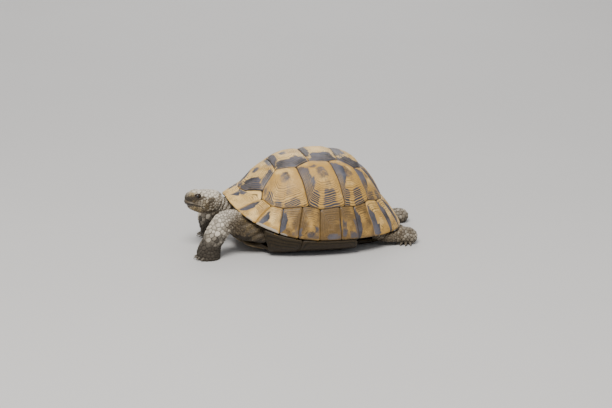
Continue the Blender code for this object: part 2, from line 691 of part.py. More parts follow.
def build_head(collection, helpers, skin, eye_material):
    rings = upright_rings(HEAD, HEAD_SIDES)
    head = loft("head", rings, collection, skin)
    jaw = loft("lower_jaw", rings, collection, skin)
    boolean(head, jaw_region("mouth_gap", MOUTH_GAP, helpers), "DIFFERENCE")
    boolean(jaw, jaw_region("jaw_space", 0.0, helpers), "INTERSECT")
    for side, word in ((-1, "left"), (1, "right")):
        middle = (EYE["x"], side * EYE["w"], EYE["z"])
        socket = ball(f"socket_{word}", middle, EYE["radius"] + FLESH_GAP, helpers)
        boolean(head, hide(socket), "DIFFERENCE")
        ball(f"eye_{word}", middle, EYE["radius"], collection, eye_material)


def ball(name, middle, radius, collection, material=None):
    work = bmesh.new()
    bmesh.ops.create_uvsphere(work, u_segments=12, v_segments=8, radius=radius * MM)
    place = (Vector(middle) - Vector((ORIGIN[0], ORIGIN[1], 0))) * MM
    bmesh.ops.translate(work, verts=work.verts, vec=place)
    mesh = bpy.data.meshes.new(name)
    work.to_mesh(mesh)
    work.free()
    mesh.shade_smooth()
    obj = bpy.data.objects.new(name, mesh)
    collection.objects.link(obj)
    if material:
        mesh.materials.append(material)
    return obj


def main():
    for obj in list(bpy.data.objects):
        bpy.data.objects.remove(obj)
    parts = new_collection("tortoise")
    helpers = new_collection("cutters")
    shell = new_material("carapace horn", COLOURS["shell"], 0.55)
    underside = new_material("plastron horn", COLOURS["plastron"], 0.6)
    skin = new_material("scaly skin", COLOURS["skin"], 0.75)
    eye = new_material("eye", COLOURS["eye"], 0.1)
    build_carapace(parts, shell)
    build_plastron(parts, underside)
    build_flesh(parts, helpers, skin)
    build_head(parts, helpers, skin, eye)


main()
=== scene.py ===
"""A spur-thighed tortoise in mid stride: horn scutes with growth rings, one scaly skin, eyes, claws and beak.

Lengths inside the modelling functions are millimetres. The shell is worked out level, in a frame of its own
(s towards the tail, w to the animal's left, h up), and to_world() tips and places it as the frame has it.
"""

import itertools
import json
import math
from contextlib import contextmanager
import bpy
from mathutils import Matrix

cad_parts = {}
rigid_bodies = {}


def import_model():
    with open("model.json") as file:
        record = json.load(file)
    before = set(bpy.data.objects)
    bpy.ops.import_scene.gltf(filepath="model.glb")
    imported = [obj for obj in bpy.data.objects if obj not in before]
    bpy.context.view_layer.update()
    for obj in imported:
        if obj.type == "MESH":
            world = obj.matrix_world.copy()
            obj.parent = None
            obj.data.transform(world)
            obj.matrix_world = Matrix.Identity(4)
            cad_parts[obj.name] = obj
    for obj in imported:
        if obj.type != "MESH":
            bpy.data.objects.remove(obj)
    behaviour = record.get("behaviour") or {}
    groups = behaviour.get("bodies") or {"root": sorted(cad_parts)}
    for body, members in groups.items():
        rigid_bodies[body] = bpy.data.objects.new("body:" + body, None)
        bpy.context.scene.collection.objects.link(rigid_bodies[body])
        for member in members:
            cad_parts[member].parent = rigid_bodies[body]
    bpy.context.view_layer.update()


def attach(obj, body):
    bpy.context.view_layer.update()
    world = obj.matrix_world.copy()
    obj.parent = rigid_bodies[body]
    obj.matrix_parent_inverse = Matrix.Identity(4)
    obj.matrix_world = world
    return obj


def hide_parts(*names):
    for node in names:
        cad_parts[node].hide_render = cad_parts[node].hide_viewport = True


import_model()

from types import SimpleNamespace

import bmesh
import bpy
import numpy as np
from bpy.props import FloatProperty, FloatVectorProperty, PointerProperty
from bpy.types import Operator, Panel, PropertyGroup
from mathutils import Vector
from mathutils.bvhtree import BVHTree
from mathutils.kdtree import KDTree

bl_info = {
    "name": "Spur-thighed tortoise",
    "version": (1, 0, 0),
    "blender": (4, 5, 0),
    "location": "3D View > Sidebar > Tortoise",
    "description": "Builds a walking tortoise's scutes, skin, scales, eyes, claws, beak and stage",
    "category": "Add Mesh",
}

MM = 0.001
SIDES = {"left": 1, "right": -1}

# Where the shell sits in the frame
NOSE_UP_DEG = 1.5
SHELL_LIFT = 2.5
ORIGIN_X = -10.03

# Carapace sizes at the head end, the flanks and the tail end
APEX_S = 8.0
APEX_H = 95.5
DOME_REACH = {"head": 80.0, "flank": 61.0, "tail": 74.0}
RIM_REACH = {"head": 97.0, "flank": 71.0, "tail": 96.0}
DOME_ROUNDNESS = {"head": 2.3, "tail": 2.2}
RIM_ROUNDNESS = {"head": 2.4, "tail": 2.12}
DOME_FOOT_H = (60.0, 50.0, 46.0)
RIM_H = (51.0, 16.0, 15.0)
DOME_FOOT_SLOPE = (36.0, 70.0, 50.0)
RIM_SLOPE = (30.0, 88.0, 60.0)
CROWN_FLATNESS = (0.66, 0.57, 0.62)
SHOULDER_FULLNESS = (0.40, 0.37, 0.28)
ROUND_FADE = 2.5
# Depth of the rim under its outer surface: at least, and more where it flares
RIM_DEPTH = 0.6
RIM_FLARE_DEPTH = 3.2

# Where seams meet on the unrolled shell: share of the way down the dome (2 is the rim), and degrees round
# from the tail
JOINTS = {
    "nuchal_v1": (1.10, 175.5),
    "v1_c1": (0.916, 147.0),
    "v12": (0.604, 150.0),
    "c12_top": (0.469, 128.7),
    "v23": (0.308, 119.0),
    "c23_top": (0.308, 89.5),
    "v34": (0.300, 69.0),
    "c34_top": (0.477, 49.7),
    "v45": (0.502, 27.3),
    "v5_c4": (0.985, 24.0),
    "v5_tail": (1.000, 9.5),
    "m12": (1.009, 142.8),
    "m23": (1.165, 133.7),
    "m34": (1.150, 125.1),
    "m45": (1.017, 112.2),
    "c12_foot": (0.990, 108.2),
    "m56": (1.077, 100.3),
    "m67": (1.021, 85.7),
    "c23_foot": (1.000, 80.8),
    "m78": (1.035, 72.2),
    "m89": (0.975, 58.2),
    "c34_foot": (0.956, 53.6),
    "m910": (0.981, 41.4),
    "m1011": (0.990, 28.0),
}
RIM_SEAMS = {
    "nuchal_v1": 176.2,
    "m12": 154.4,
    "m23": 138.5,
    "m34": 123.0,
    "m45": 112.2,
    "m56": 99.9,
    "m67": 86.6,
    "m78": 73.6,
    "m89": 60.9,
    "m910": 43.0,
    "m1011": 27.0,
    "v5_tail": 10.0,
}
# Each scute: its joints, its growth centre (down, degrees), its tone (0 cream to 1 brown), its dark patches.
# A patch runs from one corner number to another round the outline, and from one share of the way out to
# another. Its last number says how dark it is.
VERTEBRALS = (
    (("nuchal_v1", "v1_c1", "v12"), (0.74, 180), 0.12,
     ((0, 6, 0, 0.22, 0.75), (0.1, 1, 0.48, 1, 0.95), (1, 1.9, 0.72, 1, 0.75), (5.2, 6, 0.6, 0.98, 0.8),
      (2.2, 2.8, 0.72, 1, 0.75))),
    (("v12", "c12_top", "v23"), (0.33, 180), 0.08,
     ((0, 6, 0, 0.22, 0.7), (0, 2, 0.56, 1, 1), (5.1, 5.9, 0.52, 1, 0.95), (2.3, 2.7, 0.9, 1, 0.5))),
    (("v23", "c23_top", "v34"), (0.05, 180), 0,
     ((0, 2, 0.44, 1, 1), (5.1, 5.9, 0.56, 1, 1), (2.1, 2.9, 0.86, 1, 0.6))),
    (("v34", "c34_top", "v45"), (0.34, 0), 0.1,
     ((0, 6, 0, 0.14, 0.7), (0, 2, 0.58, 1, 0.95), (5.1, 5.9, 0.55, 1, 1), (2.2, 2.8, 0.9, 1, 0.5))),
    (("v45", "v5_c4", "v5_tail"), (0.66, 0), 0.25,
     ((0, 6, 0, 0.18, 0.8), (0, 1, 0.62, 1, 0.9), (5.1, 5.9, 0.6, 1, 1), (1.2, 1.9, 0.75, 1, 0.7))),
)
COSTALS = (
    (("v12", "v1_c1", "m12", "m23", "m34", "m45", "c12_foot", "c12_top"), (0.62, 134), 0.35,
     ((0, 8, 0, 0.26, 0.56), (4.3, 4.8, 0.2, 0.7, 0.36), (0.2, 0.95, 0.88, 1, 0.7),
      (1, 1.9, 0.76, 0.97, 0.8), (2.1, 3.1, 0.66, 0.95, 0.9),
      (3.2, 3.95, 0.66, 1, 0.95), (4.1, 4.95, 0.72, 1, 1), (5.2, 5.8, 0.9, 1, 0.5),
      (7.2, 7.7, 0.88, 1, 0.6))),
    (("v23", "c12_top", "c12_foot", "m56", "m67", "c23_foot", "c23_top"), (0.48, 99.5), 0.42,
     ((0, 7, 0, 0.28, 0.56), (3.3, 4, 0, 0.5, 0.4), (0.1, 0.9, 0.3, 0.62, 0.62), (1, 1.62, 0.52, 1, 0.9),
      (1.5, 2, 0.42, 1, 0.9),
      (2, 2.82, 0.6, 1, 1), (3.22, 3.95, 0.5, 1, 0.95), (4, 5, 0.8, 0.95, 0.3), (6.3, 6.9, 0.84, 1, 0.6))),
    (("v34", "c23_top", "c23_foot", "m78", "m89", "c34_foot", "c34_top"), (0.48, 67), 0.42,
     ((0, 7, 0, 0.28, 0.56), (3.2, 3.9, 0.1, 0.5, 0.4), (1, 1.96, 0.18, 1, 1), (1.9, 2.6, 0.6, 1, 1),
      (3.1, 3.9, 0.55, 1, 0.95),
      (6.3, 6.9, 0.8, 1, 0.6))),
    (("v45", "c34_top", "c34_foot", "m910", "m1011", "v5_c4"), (0.62, 38), 0.36,
     ((0, 6, 0, 0.16, 0.6), (1, 1.96, 0.3, 1, 1), (2, 2.8, 0.68, 1, 0.95), (3.2, 4, 0.66, 1, 0.9),
      (5.2, 5.8, 0.8, 1, 0.6))),
)
MARGINALS = (
    (("nuchal_v1", "v1_c1", "m12"), 0, ((5.25, 6, 0.2, 0.72, 0.9), (0, 0.62, 0.42, 0.92, 0.95))),
    (("m12", "m23"), 0.24, ((3.95, 4.95, 0.25, 0.9, 1),)),
    (("m23", "m34"), 0.3, ((3.55, 4.9, 0.08, 0.74, 1), (1, 1.7, 0.85, 1, 0.5))),
    (("m34", "m45"), 0.78, ((4, 5, 0.36, 1, 1), (1.7, 2.6, 0.5, 0.9, 0.5))),
    (("m45", "c12_foot", "m56"), 0.82, ((2.6, 4.2, 0.46, 0.95, 0.6), (4.9, 5.3, 0.7, 1, 0.7))),
    (("m56", "m67"), 1, ((1.9, 3.4, 0.44, 0.95, 0.62), (1.4, 1.8, 0.78, 1, 0.6))),
    (("m67", "c23_foot", "m78"), 0.84, ((3, 4, 0.5, 0.95, 0.58), (2.3, 3.15, 0.6, 1, 0.6),
     (4.6, 5.6, 0.3, 0.85, 0.62))),
    (("m78", "m89"), 0.82, ((4, 4.95, 0.5, 1, 0.95),)),
    (("m89", "c34_foot", "m910"), 0.3, ((4.35, 5.95, 0.36, 0.98, 1),)),
    (("m910", "m1011"), 0.2, ((3.95, 5, 0.42, 1, 0.95),)),
    (("m1011", "v5_c4", "v5_tail"), 0.2, ((4.95, 6, 0.34, 1, 0.95),)),
)
# Scutes over the neck and the tail: joint, tone, patches
END_SCUTES = {
    "nuchal": ("nuchal_v1", 0.1, ()),
    "supracaudal": ("v5_tail", 0.35, ((3.6, 4.4, 0.3, 1, 0.8), (0.1, 0.4, 0.5, 1, 0.8))),
}
# Worn rims of the marginals: from one corner number to another, from this share of the way out, how much
WORN_RIM = (2.0, 3.6, 0.7, 0.35)
WORN_RIMS = {2: (2.2, 3.0, 0.66, 0.85), 3: (2.0, 4.0, 0.54, 0.95), 4: (3.1, 4.0, 0.68, 0.85)}
SEAM_WAVE = 0.0035
# How far a patch fades at its sides (inwards, outwards), at its start and at its end
PATCH_SIDE_FADE = (0.13, 0.16)
PATCH_START_FADE = 0.09
PATCH_END_FADE = (0.13, 0.11)
# Crowds a scute's rows of points towards its edge (below 1)
ROW_CROWDING = 0.9

# Plastron: s of each seam at the midline and at the outer edge
MIDLINE_SEAMS = (-90.0, -72.0, -50.0, -38.0, 20.0, 46.0, 70.0)
EDGE_SEAMS = (-90.0, -83.0, -57.0, -28.0, 34.0, 58.0, 79.0)
MIDLINE_GAP = 0.12
PLASTRON_PLATES = ("gular", "humeral", "pectoral", "abdominal", "femoral", "anal")
LOBE_HALF_WIDTH = 42.0
FRONT_LOBE = {"start": -57.0, "length": 33.0, "narrowing": 27.0, "power": 2.2}
REAR_LOBE = {"start": 34.0, "length": 45.0, "narrowing": 20.0, "power": 2.0}
BRIDGE = {"front": -57.0, "rear": 34.0, "lean": 11.0, "fade": 9.0, "bend_start": 41.0, "sheet_edge": 80.0}
LIP = {"start": 30.0, "front_rise": 8.0, "rear_rise": 3.0, "spread": 12.0, "reach": 14.0}
TIP_RISE = {"front": (-55.0, 35.0, 9.0), "rear": (45.0, 35.0, 5.0)}
CHEST_SAG = {"s": -46.0, "spread": 24.0, "depth": 1.6}


# ---------------------------------------------------------------- settings


def length(name, description, default):
    return FloatProperty(name=name, description=description, default=default, unit="LENGTH",
                         subtype="DISTANCE", precision=5)


def colour(name, description, default):
    return FloatVectorProperty(name=name, description=description, default=default, size=3, min=0, max=1,
                               subtype="COLOR")


class TORTOISE_PG_shell(PropertyGroup):
    """Sizes and colours of the horny shell."""

    thickness: length("Scute thickness", "Depth of a carapace scute", 0.0035)
    rim_thickness: length("Rim thickness", "Depth of a marginal scute", 0.0030)
    plastron_thickness: length("Plastron thickness", "Depth of a plastron plate", 0.0033)
    seam_gap: length("Seam gap", "Width of the gap between two scutes", 0.00016)
    seam_depth: length("Seam depth", "How far a scute's edge dips into its seam", 0.00075)
    ring_height: length("Ring height", "Height of a growth ring over its groove", 0.00042)
    cream: colour("Cream", "Pale horn over the neck", (0.96, 0.63, 0.215))
    straw: colour("Straw", "Yellow horn of the dome", (0.58, 0.33, 0.070))
    ochre: colour("Ochre", "Brown horn of the flanks", (0.155, 0.088, 0.024))
    slate: colour("Slate", "Dark markings", (0.024, 0.026, 0.038))
    belly: colour("Belly horn", "Horn of the plastron", (0.26, 0.19, 0.095))
    # Bridge horn: painted shade, far darker than the plastron's own horn, for the bridges and the lobes'
    # edges that lie in shadow under the rim
    bridge: colour("Bridge horn", "Soiled horn of the bridges and the lobes' edges", (0.027, 0.018, 0.008))


# ---------------------------------------------------------------- shell surfaces


def ease(x, low, high):
    t = np.clip((np.asarray(x, float) - low) / (high - low), 0, 1)
    return t * t * (3 - 2 * t)


def hermite(t):
    """Weights of a curve's start, its slope there, its end and its slope there, at each share of the way."""
    return 2 * t**3 - 3 * t**2 + 1, t**3 - 2 * t**2 + t, 3 * t**2 - 2 * t**3, t**3 - t**2


def round_the_shell(sizes, angle):
    head, flank, tail = sizes
    towards_tail = np.clip(np.cos(angle), 0, 1) ** ROUND_FADE
    towards_head = np.clip(-np.cos(angle), 0, 1) ** ROUND_FADE
    return flank + (head - flank) * towards_head + (tail - flank) * towards_tail


def plan_outline(reach, roundness, angle):
    c, s = np.cos(angle), np.sin(angle)
    power = np.where(c < 0, roundness["head"], roundness["tail"])
    size = (np.abs(c) ** power + np.abs(s) ** power) ** (-1 / power)
    along = np.where(c < 0, reach["head"] + APEX_S, reach["tail"] - APEX_S)
    return along * c * size, reach["flank"] * s * size


def carapace(u, v):
    """The shell's outer surface (s, w, h) over its unrolled disc: radius 1 is the dome's foot, 2 the rim."""
    u, v = np.asarray(u, float), np.asarray(v, float)
    down, angle = np.hypot(u, v), np.arctan2(v, u)
    foot_s, foot_w = plan_outline(DOME_REACH, DOME_ROUNDNESS, angle)
    rim_s, rim_w = plan_outline(RIM_REACH, RIM_ROUNDNESS, angle)
    foot_h, rim_h = round_the_shell(DOME_FOOT_H, angle), round_the_shell(RIM_H, angle)
    foot_slope = np.radians(round_the_shell(DOME_FOOT_SLOPE, angle))
    rim_slope = np.radians(round_the_shell(RIM_SLOPE, angle))
    reach = np.hypot(foot_s, foot_w)
    out_s, out_w = foot_s / reach, foot_w / reach
    a = np.clip(down, 0, 1)
    pull = round_the_shell(SHOULDER_FULLNESS, angle) * np.hypot(reach, APEX_H - foot_h)
    far_r, far_h = reach - pull * np.cos(foot_slope), foot_h + pull * np.sin(foot_slope)
    near_r = round_the_shell(CROWN_FLATNESS, angle) * reach
    b0, b1, b2, b3 = (1 - a) ** 3, 3 * (1 - a) ** 2 * a, 3 * (1 - a) * a**2, a**3
    dome_r = b1 * near_r + b2 * far_r + b3 * reach
    dome_h = (b0 + b1) * APEX_H + b2 * far_h + b3 * foot_h
    span = np.sqrt((rim_s - foot_s) ** 2 + (rim_w - foot_w) ** 2 + (rim_h - foot_h) ** 2)
    h0, h1, h2, h3 = hermite(np.clip(down - 1, 0, 1))
    level = span * (h1 * np.cos(foot_slope) + h3 * np.cos(rim_slope))
    fall = span * (h1 * np.sin(foot_slope) + h3 * np.sin(rim_slope))
    below = down > 1
    s = np.where(below, h0 * foot_s + h2 * rim_s + level * out_s, out_s * dome_r)
    w = np.where(below, h0 * foot_w + h2 * rim_w + level * out_w, out_w * dome_r)
    h = np.where(below, h0 * foot_h + h2 * rim_h - fall, dome_h)
    return np.stack([s + APEX_S, w, h], -1)


def outward(u, v, step=1e-3):
    across = carapace(u + step, v) - carapace(u - step, v)
    along = carapace(u, v + step) - carapace(u, v - step)
    normal = np.cross(across, along)
    return normal / np.maximum(np.linalg.norm(normal, axis=-1, keepdims=True), 1e-12)


def rim_underside():
    """The rim's lower edge, from the head round to the tail, where it meets the plastron's bent sheet."""
    angles = np.linspace(math.pi, 0, 181)
    u, v = 2 * np.cos(angles), 2 * np.sin(angles)
    line = carapace(u, v)
    line[:, 2] -= RIM_DEPTH + RIM_FLARE_DEPTH * np.clip(outward(u * 0.999, v * 0.999)[:, 2], 0, 1)
    return line


RIM_LINE = rim_underside()


def lobe_half_width(s):
    ahead = np.clip((FRONT_LOBE["start"] - s) / FRONT_LOBE["length"], 0, 1) ** FRONT_LOBE["power"]
    behind = np.clip((s - REAR_LOBE["start"]) / REAR_LOBE["length"], 0, 1) ** REAR_LOBE["power"]
    return LOBE_HALF_WIDTH - FRONT_LOBE["narrowing"] * ahead - REAR_LOBE["narrowing"] * behind


def plastron(s, a):
    """The underside (s, w, h), where a is the distance from the midline along the bent sheet."""
    s, a = np.asarray(s, float), np.asarray(a, float)
    out = np.abs(a)
    base = np.zeros_like(s)
    for sign, key in ((-1, "front"), (1, "rear")):
        start, span, rise = TIP_RISE[key]
        base = base + rise * np.clip(sign * (s - start) / span, 0, 2) ** 2
    base = base - CHEST_SAG["depth"] * np.exp(-(((s - CHEST_SAG["s"]) / CHEST_SAG["spread"]) ** 2))
    fade, bend = BRIDGE["fade"], BRIDGE["bend_start"]
    up = np.clip((out - bend) / (BRIDGE["sheet_edge"] - bend), 0, 1)
    front = BRIDGE["front"] - BRIDGE["lean"] * up
    bridged = ease(s, front - fade, front) * (1 - ease(s, BRIDGE["rear"], BRIDGE["rear"] + fade))
    rise = np.where(s < 0, LIP["front_rise"], LIP["rear_rise"])
    lip_h = rise * (np.clip(out - LIP["start"], 0, LIP["reach"]) / LIP["spread"]) ** 2
    top_w = np.interp(s, RIM_LINE[:, 0], RIM_LINE[:, 1])
    top_h = np.interp(s, RIM_LINE[:, 0], RIM_LINE[:, 2]) - base
    turn = up * math.pi / 2
    bridge_w = np.where(turn > 0, bend + (top_w - bend) * np.sin(turn), out)
    bridge_h = top_h * (1 - np.cos(turn))
    w = np.sign(a) * (out + (bridge_w - out) * bridged)
    return np.stack([s, w, base + lip_h + (bridge_h - lip_h) * bridged], -1)


def downward(s, a, step=1e-2):
    run = plastron(s, a + step) - plastron(s, a - step)
    normal = np.stack([np.zeros_like(run[..., 0]), run[..., 2], -run[..., 1]], -1)
    return normal / np.linalg.norm(normal, axis=-1, keepdims=True)


def to_world(points):
    """Shell points (s, w, h) as frame points (x, y, z), still in millimetres."""
    tilt = math.radians(NOSE_UP_DEG)
    s, w, h = points[..., 0], points[..., 1], points[..., 2]
    x = s * math.cos(tilt) + h * math.sin(tilt) - ORIGIN_X
    return np.stack([x, -w, h * math.cos(tilt) - s * math.sin(tilt) + SHELL_LIFT], -1)


# ---------------------------------------------------------------- mesh helpers


def wobble(points, size, seed, octaves=3):
    """Smooth noise from -1 to 1 at each point, with features about size millimetres across."""
    waves_each, finer_by, fainter_by, full_swing = 4, 1.9, 0.6, 2.4
    rng = np.random.default_rng(seed)
    total, weight = np.zeros(points.shape[:-1]), 0.0
    for octave in range(octaves):
        for _ in range(waves_each):
            direction = rng.normal(size=points.shape[-1])
            direction *= 2 * math.pi / (size * np.linalg.norm(direction)) * finer_by**octave
            total += fainter_by**octave * np.sin(points @ direction + rng.uniform(0, 2 * math.pi))
        weight += fainter_by**octave * full_swing
    return total / weight


def add_mesh(name, points, quads, tris=()):
    """A mesh object at the origin from points in millimetres and index arrays."""
    mesh = bpy.data.meshes.new(name)
    quads, tris = np.asarray(quads, int).reshape(-1, 4), np.asarray(tris, int).reshape(-1, 3)
    mesh.vertices.add(len(points))
    mesh.vertices.foreach_set("co", (np.asarray(points) * MM).astype(np.float32).ravel())
    mesh.loops.add(quads.size + tris.size)
    mesh.loops.foreach_set("vertex_index", np.concatenate([quads.ravel(), tris.ravel()]).astype(np.int32))
    starts = np.concatenate([np.arange(len(quads)) * 4, quads.size + np.arange(len(tris)) * 3])
    mesh.polygons.add(len(starts))
    mesh.polygons.foreach_set("loop_start", starts.astype(np.int32))
    mesh.update(calc_edges=True)
    mesh.validate()
    mesh.shade_smooth()
    obj = bpy.data.objects.new(name, mesh)
    bpy.context.scene.collection.objects.link(obj)
    return obj


@contextmanager
def editing(obj):
    """The object's mesh as a bmesh, written back when the block ends."""
    work = bmesh.new()
    work.from_mesh(obj.data)
    yield work
    work.to_mesh(obj.data)
    work.free()


def face_outwards(obj):
    with editing(obj) as work:
        bmesh.ops.recalc_face_normals(work, faces=work.faces)


def surface_tree(*objects):
    """A search tree over the faces of objects, in millimetres."""
    work = bmesh.new()
    for obj in objects:
        work.from_mesh(obj.data)
    bmesh.ops.scale(work, vec=(1 / MM,) * 3, verts=work.verts)
    tree = BVHTree.FromBMesh(work)
    work.free()
    return tree


def read_points(obj):
    """The mesh's points in millimetres and their normals."""
    found = []
    for key in ("co", "normal"):
        values = np.empty(len(obj.data.vertices) * 3)
        obj.data.vertices.foreach_get(key, values)
        found.append(values.reshape(-1, 3))
    return found[0] / MM, found[1]


def write_points(obj, points):
    obj.data.vertices.foreach_set("co", (points * MM).astype(np.float32).ravel())
    obj.data.update()


def put_values(obj, **values):
    """Stores one number for each point, under the names that the materials read."""
    for name, value in values.items():
        layer = obj.data.attributes.new(name, "FLOAT", "POINT")
        layer.data.foreach_set("value", np.asarray(value, np.float32).ravel())


def ring_quads(rings, count, first=0, flip=False):
    """Quads between closed rings of count points, the first at index first."""
    r, k = np.meshgrid(np.arange(rings - 1), np.arange(count), indexing="ij")
    a = first + r * count + k
    b = first + r * count + (k + 1) % count
    quads = np.stack([a, b, b + count, a + count], -1).reshape(-1, 4)
    return quads[:, ::-1] if flip else quads


def fan(pole, count, first, flip=False):
    k = np.arange(count)
    tris = np.stack([np.full(count, pole), first + (k + 1) % count, first + k], -1)
    return tris[:, ::-1] if flip else tris


def select_only(obj):
    if bpy.context.object and bpy.context.object.mode != "OBJECT":
        bpy.ops.object.mode_set(mode="OBJECT")
    bpy.ops.object.select_all(action="DESELECT")
    obj.select_set(True)
    bpy.context.view_layer.objects.active = obj


def joined(objects, name):
    """One object made of all these."""
    select_only(objects[0])
    for obj in objects[1:]:
        obj.select_set(True)
    bpy.ops.object.join()
    objects[0].name = name
    return objects[0]


def finish_piece(obj, material, replaced=()):
    obj.data.materials.clear()
    obj.data.materials.append(material)
    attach(obj, "root")
    if replaced:
        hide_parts(*replaced)


# ---------------------------------------------------------------- materials


class Value:
    """What a shader node puts out. A sum of values is a Math node in the same tree."""

    def __init__(self, tree, socket):
        self.tree, self.socket = tree, socket

    def __add__(self, other):
        return sum_node(self.tree, "ADD", self, other)

    def __sub__(self, other):
        return sum_node(self.tree, "SUBTRACT", self, other)

    def __rsub__(self, other):
        return sum_node(self.tree, "SUBTRACT", other, self)

    def __mul__(self, other):
        return sum_node(self.tree, "MULTIPLY", self, other)


def connect(made, inputs):
    """Links each value to a node's input of that name, or sets it there if it is a plain number or colour."""
    for name, value in inputs.items():
        socket = made.inputs[name]
        if isinstance(value, Value):
            value.tree.links.new(value.socket, socket)
        elif socket.type == "RGBA":
            socket.default_value = (*value[:3], 1)
        else:
            socket.default_value = value


def node(tree, kind, inputs=None, **settings):
    made = tree.nodes.new(kind)
    for name, value in settings.items():
        setattr(made, name, value)
    connect(made, inputs or {})
    return made


def value_of(tree, kind, output, inputs=None, **settings):
    return Value(tree, node(tree, kind, inputs, **settings).outputs[output])


def sum_node(tree, operation, first, second=0.0):
    return value_of(tree, "ShaderNodeMath", 0, {0: first, 1: second}, operation=operation)


def between(value, low, high, to_low=0.0, to_high=1.0):
    """Smooth step from to_low to to_high as the value goes from low to high."""
    inputs = {"Value": value, "From Min": low, "From Max": high, "To Min": to_low, "To Max": to_high}
    return value_of(value.tree, "ShaderNodeMapRange", "Result", inputs, interpolation_type="SMOOTHSTEP")


def mixed(factor, first, second):
    """The first colour where the factor is 0, the second where it is 1."""
    return value_of(factor.tree, "ShaderNodeMix", 2, {0: factor, 6: first, 7: second}, data_type="RGBA",
                    blend_type="MIX", clamp_factor=True)


def noise(place, scale, detail=3.0, roughness=0.55, distortion=0.0):
    inputs = {"Vector": place, "Scale": scale, "Detail": detail, "Roughness": roughness,
              "Distortion": distortion}
    return value_of(place.tree, "ShaderNodeTexNoise", "Fac", inputs)


def uneven(value, size, middle=0.5):
    """How far a value lies from its middle, times a size: what makes a border or a tone uneven."""
    return (value - middle) * size


def attributes(tree, *names):
    return [value_of(tree, "ShaderNodeAttribute", "Fac", attribute_name=name) for name in names]


def object_place(tree):
    return value_of(tree, "ShaderNodeTexCoord", "Object")


def shade(colour, strength=1.0):
    return tuple(strength * c for c in colour)


def effect_group(name, inputs, outputs):
    """A shader node group with named inputs (name: default) and outputs (name: kind of socket)."""
    group = bpy.data.node_groups.new(name, "ShaderNodeTree")
    for label, default in inputs.items():
        kind = "Vector" if default is None else "Color" if isinstance(default, tuple) else "Float"
        socket = group.interface.new_socket(label, in_out="INPUT", socket_type=f"NodeSocket{kind}")
        if kind != "Vector":
            socket.default_value = (*default, 1) if kind == "Color" else default
    for label, kind in outputs.items():
        group.interface.new_socket(label, in_out="OUTPUT", socket_type=f"NodeSocket{kind}")
    entry = node(group, "NodeGroupInput")
    entry = {label: Value(group, entry.outputs[label]) for label in inputs}
    return group, entry, node(group, "NodeGroupOutput")


def dust_group(name):
    """Pale dust that lies on faces turned up and in hollows between grains."""
    inputs = {"Place": None, "Colour": (0.5, 0.5, 0.5), "Dust": (0.45, 0.40, 0.33), "Amount": 0.3}
    group, entry, leave = effect_group(name, inputs, {"Colour": "Color", "Mask": "Float"})
    normal = value_of(group, "ShaderNodeNewGeometry", "Normal")
    up = value_of(group, "ShaderNodeSeparateXYZ", "Z", {0: normal})
    grains = noise(entry["Place"], 900.0, 5.0, 0.7)
    patches = noise(entry["Place"], 90.0)
    lying = between(up, 0.0, 0.9) * between(grains, 0.42, 0.66) * between(patches, 0.35, 0.7)
    mask = lying * entry["Amount"]
    connect(leave, {"Mask": mask, "Colour": mixed(mask, entry["Colour"], entry["Dust"])})
    return group


def grain_group(name):
    """Fine relief for a Bump node: coarse dents and a fine grain, each with its own strength."""
    inputs = {"Place": None, "Dents": 0.5, "Grain": 0.5, "Coarse": 300.0, "Fine": 2200.0}
    group, entry, leave = effect_group(name, inputs, {"Height": "Float"})
    dents = noise(entry["Place"], entry["Coarse"])
    grain = noise(entry["Place"], entry["Fine"], 3.0, 0.6)
    connect(leave, {"Height": dents * entry["Dents"] + grain * entry["Grain"]})
    return group


def shared(name, build):
    """An effect's node group, made on its first use."""
    return bpy.data.node_groups.get(name) or build(name)


def new_material(name):
    material = bpy.data.materials.new(name)
    material.use_nodes = True
    return material, material.node_tree, material.node_tree.nodes["Principled BSDF"]


def paint(shader, place, colour, dust):
    """Gives the shader a colour under some dust, and returns the dust's mask."""
    made = node(place.tree, "ShaderNodeGroup", {"Place": place, "Colour": colour, "Amount": dust},
                node_tree=shared("settled dust", dust_group))
    connect(shader, {"Base Color": Value(place.tree, made.outputs["Colour"])})
    return Value(place.tree, made.outputs["Mask"])


def roughen(shader, place, strength, distance, dents=1.0, grain=1.0, coarse=300.0, fine=2200.0, lines=None):
    """Bumps the surface with dents, grain and any further lines."""
    inputs = {"Place": place, "Dents": dents, "Grain": grain, "Coarse": coarse, "Fine": fine}
    height = value_of(place.tree, "ShaderNodeGroup", "Height", inputs,
                      node_tree=shared("surface grain", grain_group))
    if lines is not None:
        height = height + lines
    inputs = {"Height": height, "Strength": strength, "Distance": distance}
    connect(shader, {"Normal": value_of(place.tree, "ShaderNodeBump", "Normal", inputs)})


WORN_SLATE = (0.10, 0.101, 0.132)
CHALK = (0.46, 0.42, 0.36)
SEAM_DIRT = (0.035, 0.025, 0.015)
HAIRLINES = 6


